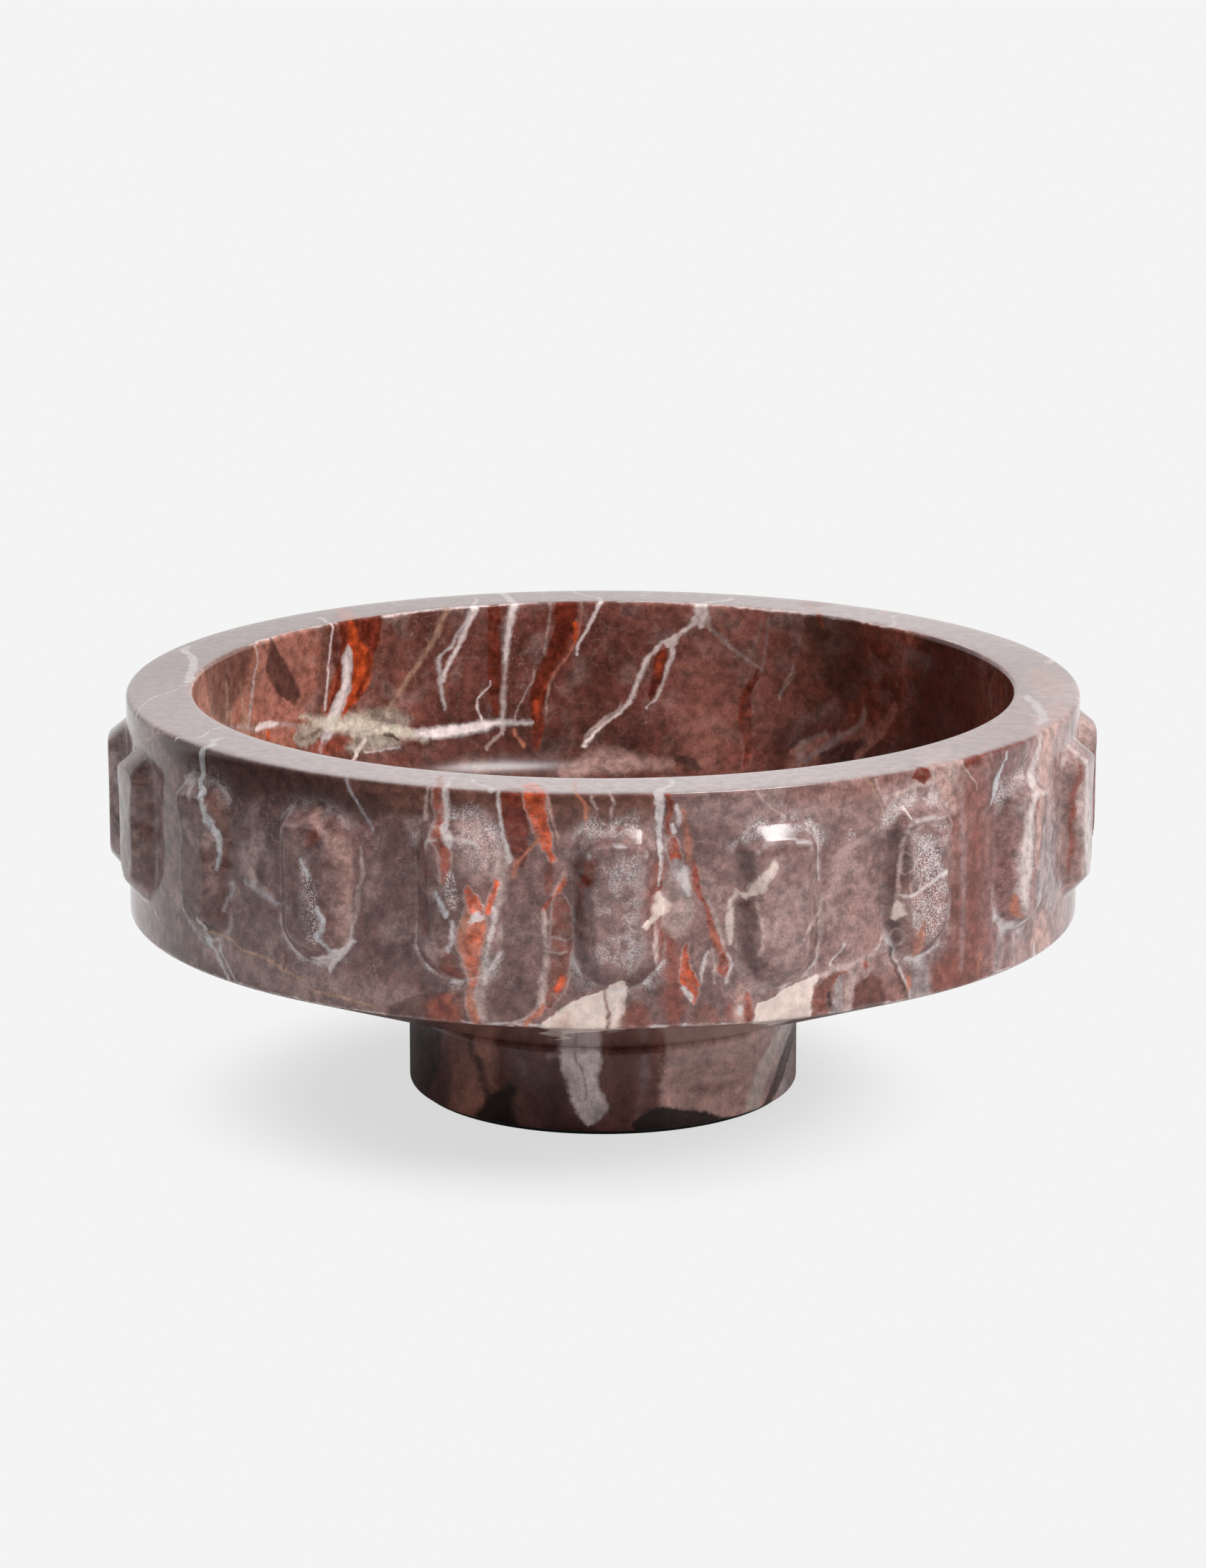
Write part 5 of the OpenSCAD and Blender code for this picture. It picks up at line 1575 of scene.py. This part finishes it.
# Camera, fitted to the edges of the photographed bowl
CAMERA_AIM = Vector((0, 0, 60.0))
CAMERA_DISTANCE = 1600.0
CAMERA_RISE = math.radians(14.78)
CAMERA_PITCH = math.radians(13.469)
CAMERA_LENS = 115.11
scene = bpy.context.scene
camera_data = bpy.data.cameras.new("camera")
camera_data.lens = CAMERA_LENS
camera = bpy.data.objects.new("camera", camera_data)
back_off = Vector((0, -math.cos(CAMERA_RISE), math.sin(CAMERA_RISE)))
camera.location = (CAMERA_AIM + CAMERA_DISTANCE * back_off) * MM
camera.rotation_euler = (QUARTER - CAMERA_PITCH, 0, 0)
scene.collection.objects.link(camera)
scene.camera = camera
scene.view_settings.view_transform = "Standard"

# Brightness of the pale backdrop, and of the even light from all sides
BACKDROP = 0.905
FILL = 0.38

# Floor of the stage, as pale as the backdrop, with the shadow of the bowl close round its foot. Its half
# width is in metres, and its gap to the bowl and the sizes of the shadow are in millimetres
STAGE_HALF = 8.0
STAGE_GAP = 0.05
STAGE_COLOUR = (0.7, 0.7, 0.7)
STAGE_ROUGH = 0.9
SHADOW_SHARE = 0.26
SHADOW_NEAR = 70.0
SHADOW_FAR = 134.0
SHADOW_MIDDLE = (-14.0, -12.0, 0.0)

# What the polish mirrors: the floor out of the shadow of the bowl, as far as the front edge of a round
# table, in millimetres, the pale backdrop behind it, and a dim studio in front of it and overhead
MIRROR_NEAR = (100.0, 220.0)
MIRROR_FAR = (590.0, 665.0)
TABLE_MIDDLE = (60.0, -30.0, 0.0)
TABLE_BACK = (100.0, 250.0)
STUDIO = 0.1

# Directions in which the mirrored backdrop starts and is full, backwards, and in which it ends, upwards
BACKDROP_BACK = (-0.05, 0.35)
BACKDROP_UP = (0.55, 0.8)

# Suns, which light the stone: direction towards them, level and angle in degrees
SUNS = {
    "key": (Vector((0.60, -0.52, 0.61)), 1.9, 16.0),
    "top": (Vector((0.34, 0.0, 0.94)), 1.9, 40.0),
}

# Softbox, which the polish mirrors: direction towards it, size in metres and brightness
SOFTBOX_TOWARDS = Vector((0.295, -0.015, 0.955))
SOFTBOX_SIZE = (0.86, 0.42)
SOFTBOX_LEVEL = 18.0

# Distance of the lamps in metres
LAMPS_AWAY = 2.5


def seen_rays(paint):
    """1 for rays from the camera, and 1 for rays by a mirror or through glass."""
    path = paint.add("ShaderNodeLightPath", {}).outputs
    mirrored = paint.calc("MAXIMUM", path["Is Glossy Ray"], path["Is Transmission Ray"])
    return path["Is Camera Ray"], mirrored


def distance_from(paint, middle):
    """Distance in metres from a point that is given in millimetres."""
    inputs = {0: paint.place, 1: Vector(middle) * MM}
    away = paint.add("ShaderNodeVectorMath", inputs, operation="SUBTRACT").outputs[0]
    return paint.add("ShaderNodeVectorMath", {0: away}, operation="LENGTH").outputs["Value"]


def metres(span):
    """A pair of millimetres in metres."""
    return [length * MM for length in span]


def floor_paint():
    """Pale floor that shows the backdrop and the shadow of the bowl, and is clear from below."""
    paint = Material("floor_paint")
    paint.shader.inputs["Base Color"].default_value = (*STAGE_COLOUR, 1)
    paint.shader.inputs["Roughness"].default_value = STAGE_ROUGH
    far = distance_from(paint, SHADOW_MIDDLE)
    shown = paint.range(far, *metres((SHADOW_NEAR, SHADOW_FAR)), 1 - SHADOW_SHARE, 1.0)
    camera_rays, mirrored = seen_rays(paint)
    in_mirror = paint.calc("MULTIPLY", mirrored, paint.range(far, *metres(MIRROR_NEAR)))
    share = paint.calc("MULTIPLY_ADD", camera_rays, shown, in_mirror)
    y = paint.add("ShaderNodeSeparateXYZ", {0: paint.place}).outputs[1]
    front = paint.range(y, *metres(TABLE_BACK), STUDIO - 1, 0.0)
    off_table = paint.range(distance_from(paint, TABLE_MIDDLE), *metres(MIRROR_FAR))
    level = paint.calc("MULTIPLY_ADD", mirrored, paint.calc("MULTIPLY", off_table, front), 1.0)
    glow = paint.add("ShaderNodeEmission", {"Color": (BACKDROP, BACKDROP, BACKDROP), "Strength": level})
    lit = paint.add("ShaderNodeMixShader", {0: share, 1: paint.shader.outputs[0], 2: glow.outputs[0]})
    below = paint.add("ShaderNodeNewGeometry", {}).outputs["Backfacing"]
    clear = paint.add("ShaderNodeBsdfTransparent", {})
    sided = paint.add("ShaderNodeMixShader", {0: below, 1: lit.outputs[0], 2: clear.outputs[0]})
    paint.tree.links.new(sided.outputs[0], paint.tree.nodes["Material Output"].inputs["Surface"])
    return paint.material


def make_floor():
    """The floor of the stage, just under the bowl."""
    h, z = STAGE_HALF, -STAGE_GAP * MM
    mesh = bpy.data.meshes.new("floor")
    mesh.from_pydata([(-h, -h, z), (h, -h, z), (h, h, z), (-h, h, z)], [], [(0, 1, 2, 3)])
    mesh.materials.append(floor_paint())
    floor = bpy.data.objects.new("floor", mesh)
    scene.collection.objects.link(floor)


def place_lamp(lamp, towards):
    """A lamp that shines at the bowl, with its sides level and turned as the bowl is."""
    made = bpy.data.objects.new(lamp.name, lamp)
    back = towards.normalized()
    side = Vector((0, 1, 0)).cross(back).normalized()
    made.location = back * LAMPS_AWAY
    made.rotation_euler = Matrix((side, back.cross(side), back)).transposed().to_euler()
    scene.collection.objects.link(made)
    return made


def make_light():
    """The suns, which the polish doesn't mirror, and the softbox, which it does."""
    for name, (towards, level, angle) in SUNS.items():
        sun = bpy.data.lights.new(name, "SUN")
        sun.energy = level
        sun.angle = math.radians(angle)
        place_lamp(sun, towards).visible_glossy = False
    softbox = bpy.data.lights.new("softbox", "AREA")
    softbox.shape = "ELLIPSE"
    softbox.size, softbox.size_y = SOFTBOX_SIZE
    softbox.energy = SOFTBOX_LEVEL * math.pi * SOFTBOX_SIZE[0] * SOFTBOX_SIZE[1]
    place_lamp(softbox, SOFTBOX_TOWARDS).visible_diffuse = False


def make_world():
    """Even light from all sides, seen as the backdrop, and mirrored as the backdrop and a dim studio."""
    world = bpy.data.worlds.new("studio")
    world.use_nodes = True
    sky = Tree(world.node_tree)
    towards = sky.add("ShaderNodeTexCoord", {}).outputs["Generated"]
    _, y, z = sky.add("ShaderNodeSeparateXYZ", {0: towards}).outputs
    behind = sky.calc("MULTIPLY", sky.range(y, *BACKDROP_BACK), sky.range(z, *BACKDROP_UP, 1.0, 0.0))
    shown = sky.range(behind, 0.0, 1.0, STUDIO, BACKDROP, smooth=False)
    camera_rays, mirrored = seen_rays(sky)
    strength = sky.calc("MULTIPLY_ADD", camera_rays, BACKDROP - FILL, FILL)
    strength = sky.calc("MULTIPLY_ADD", mirrored, sky.calc("SUBTRACT", shown, FILL), strength)
    background = world.node_tree.nodes["Background"].inputs
    background["Color"].default_value = (1, 1, 1, 1)
    world.node_tree.links.new(strength, background["Strength"])
    scene.world = world


make_floor()
make_light()
make_world()
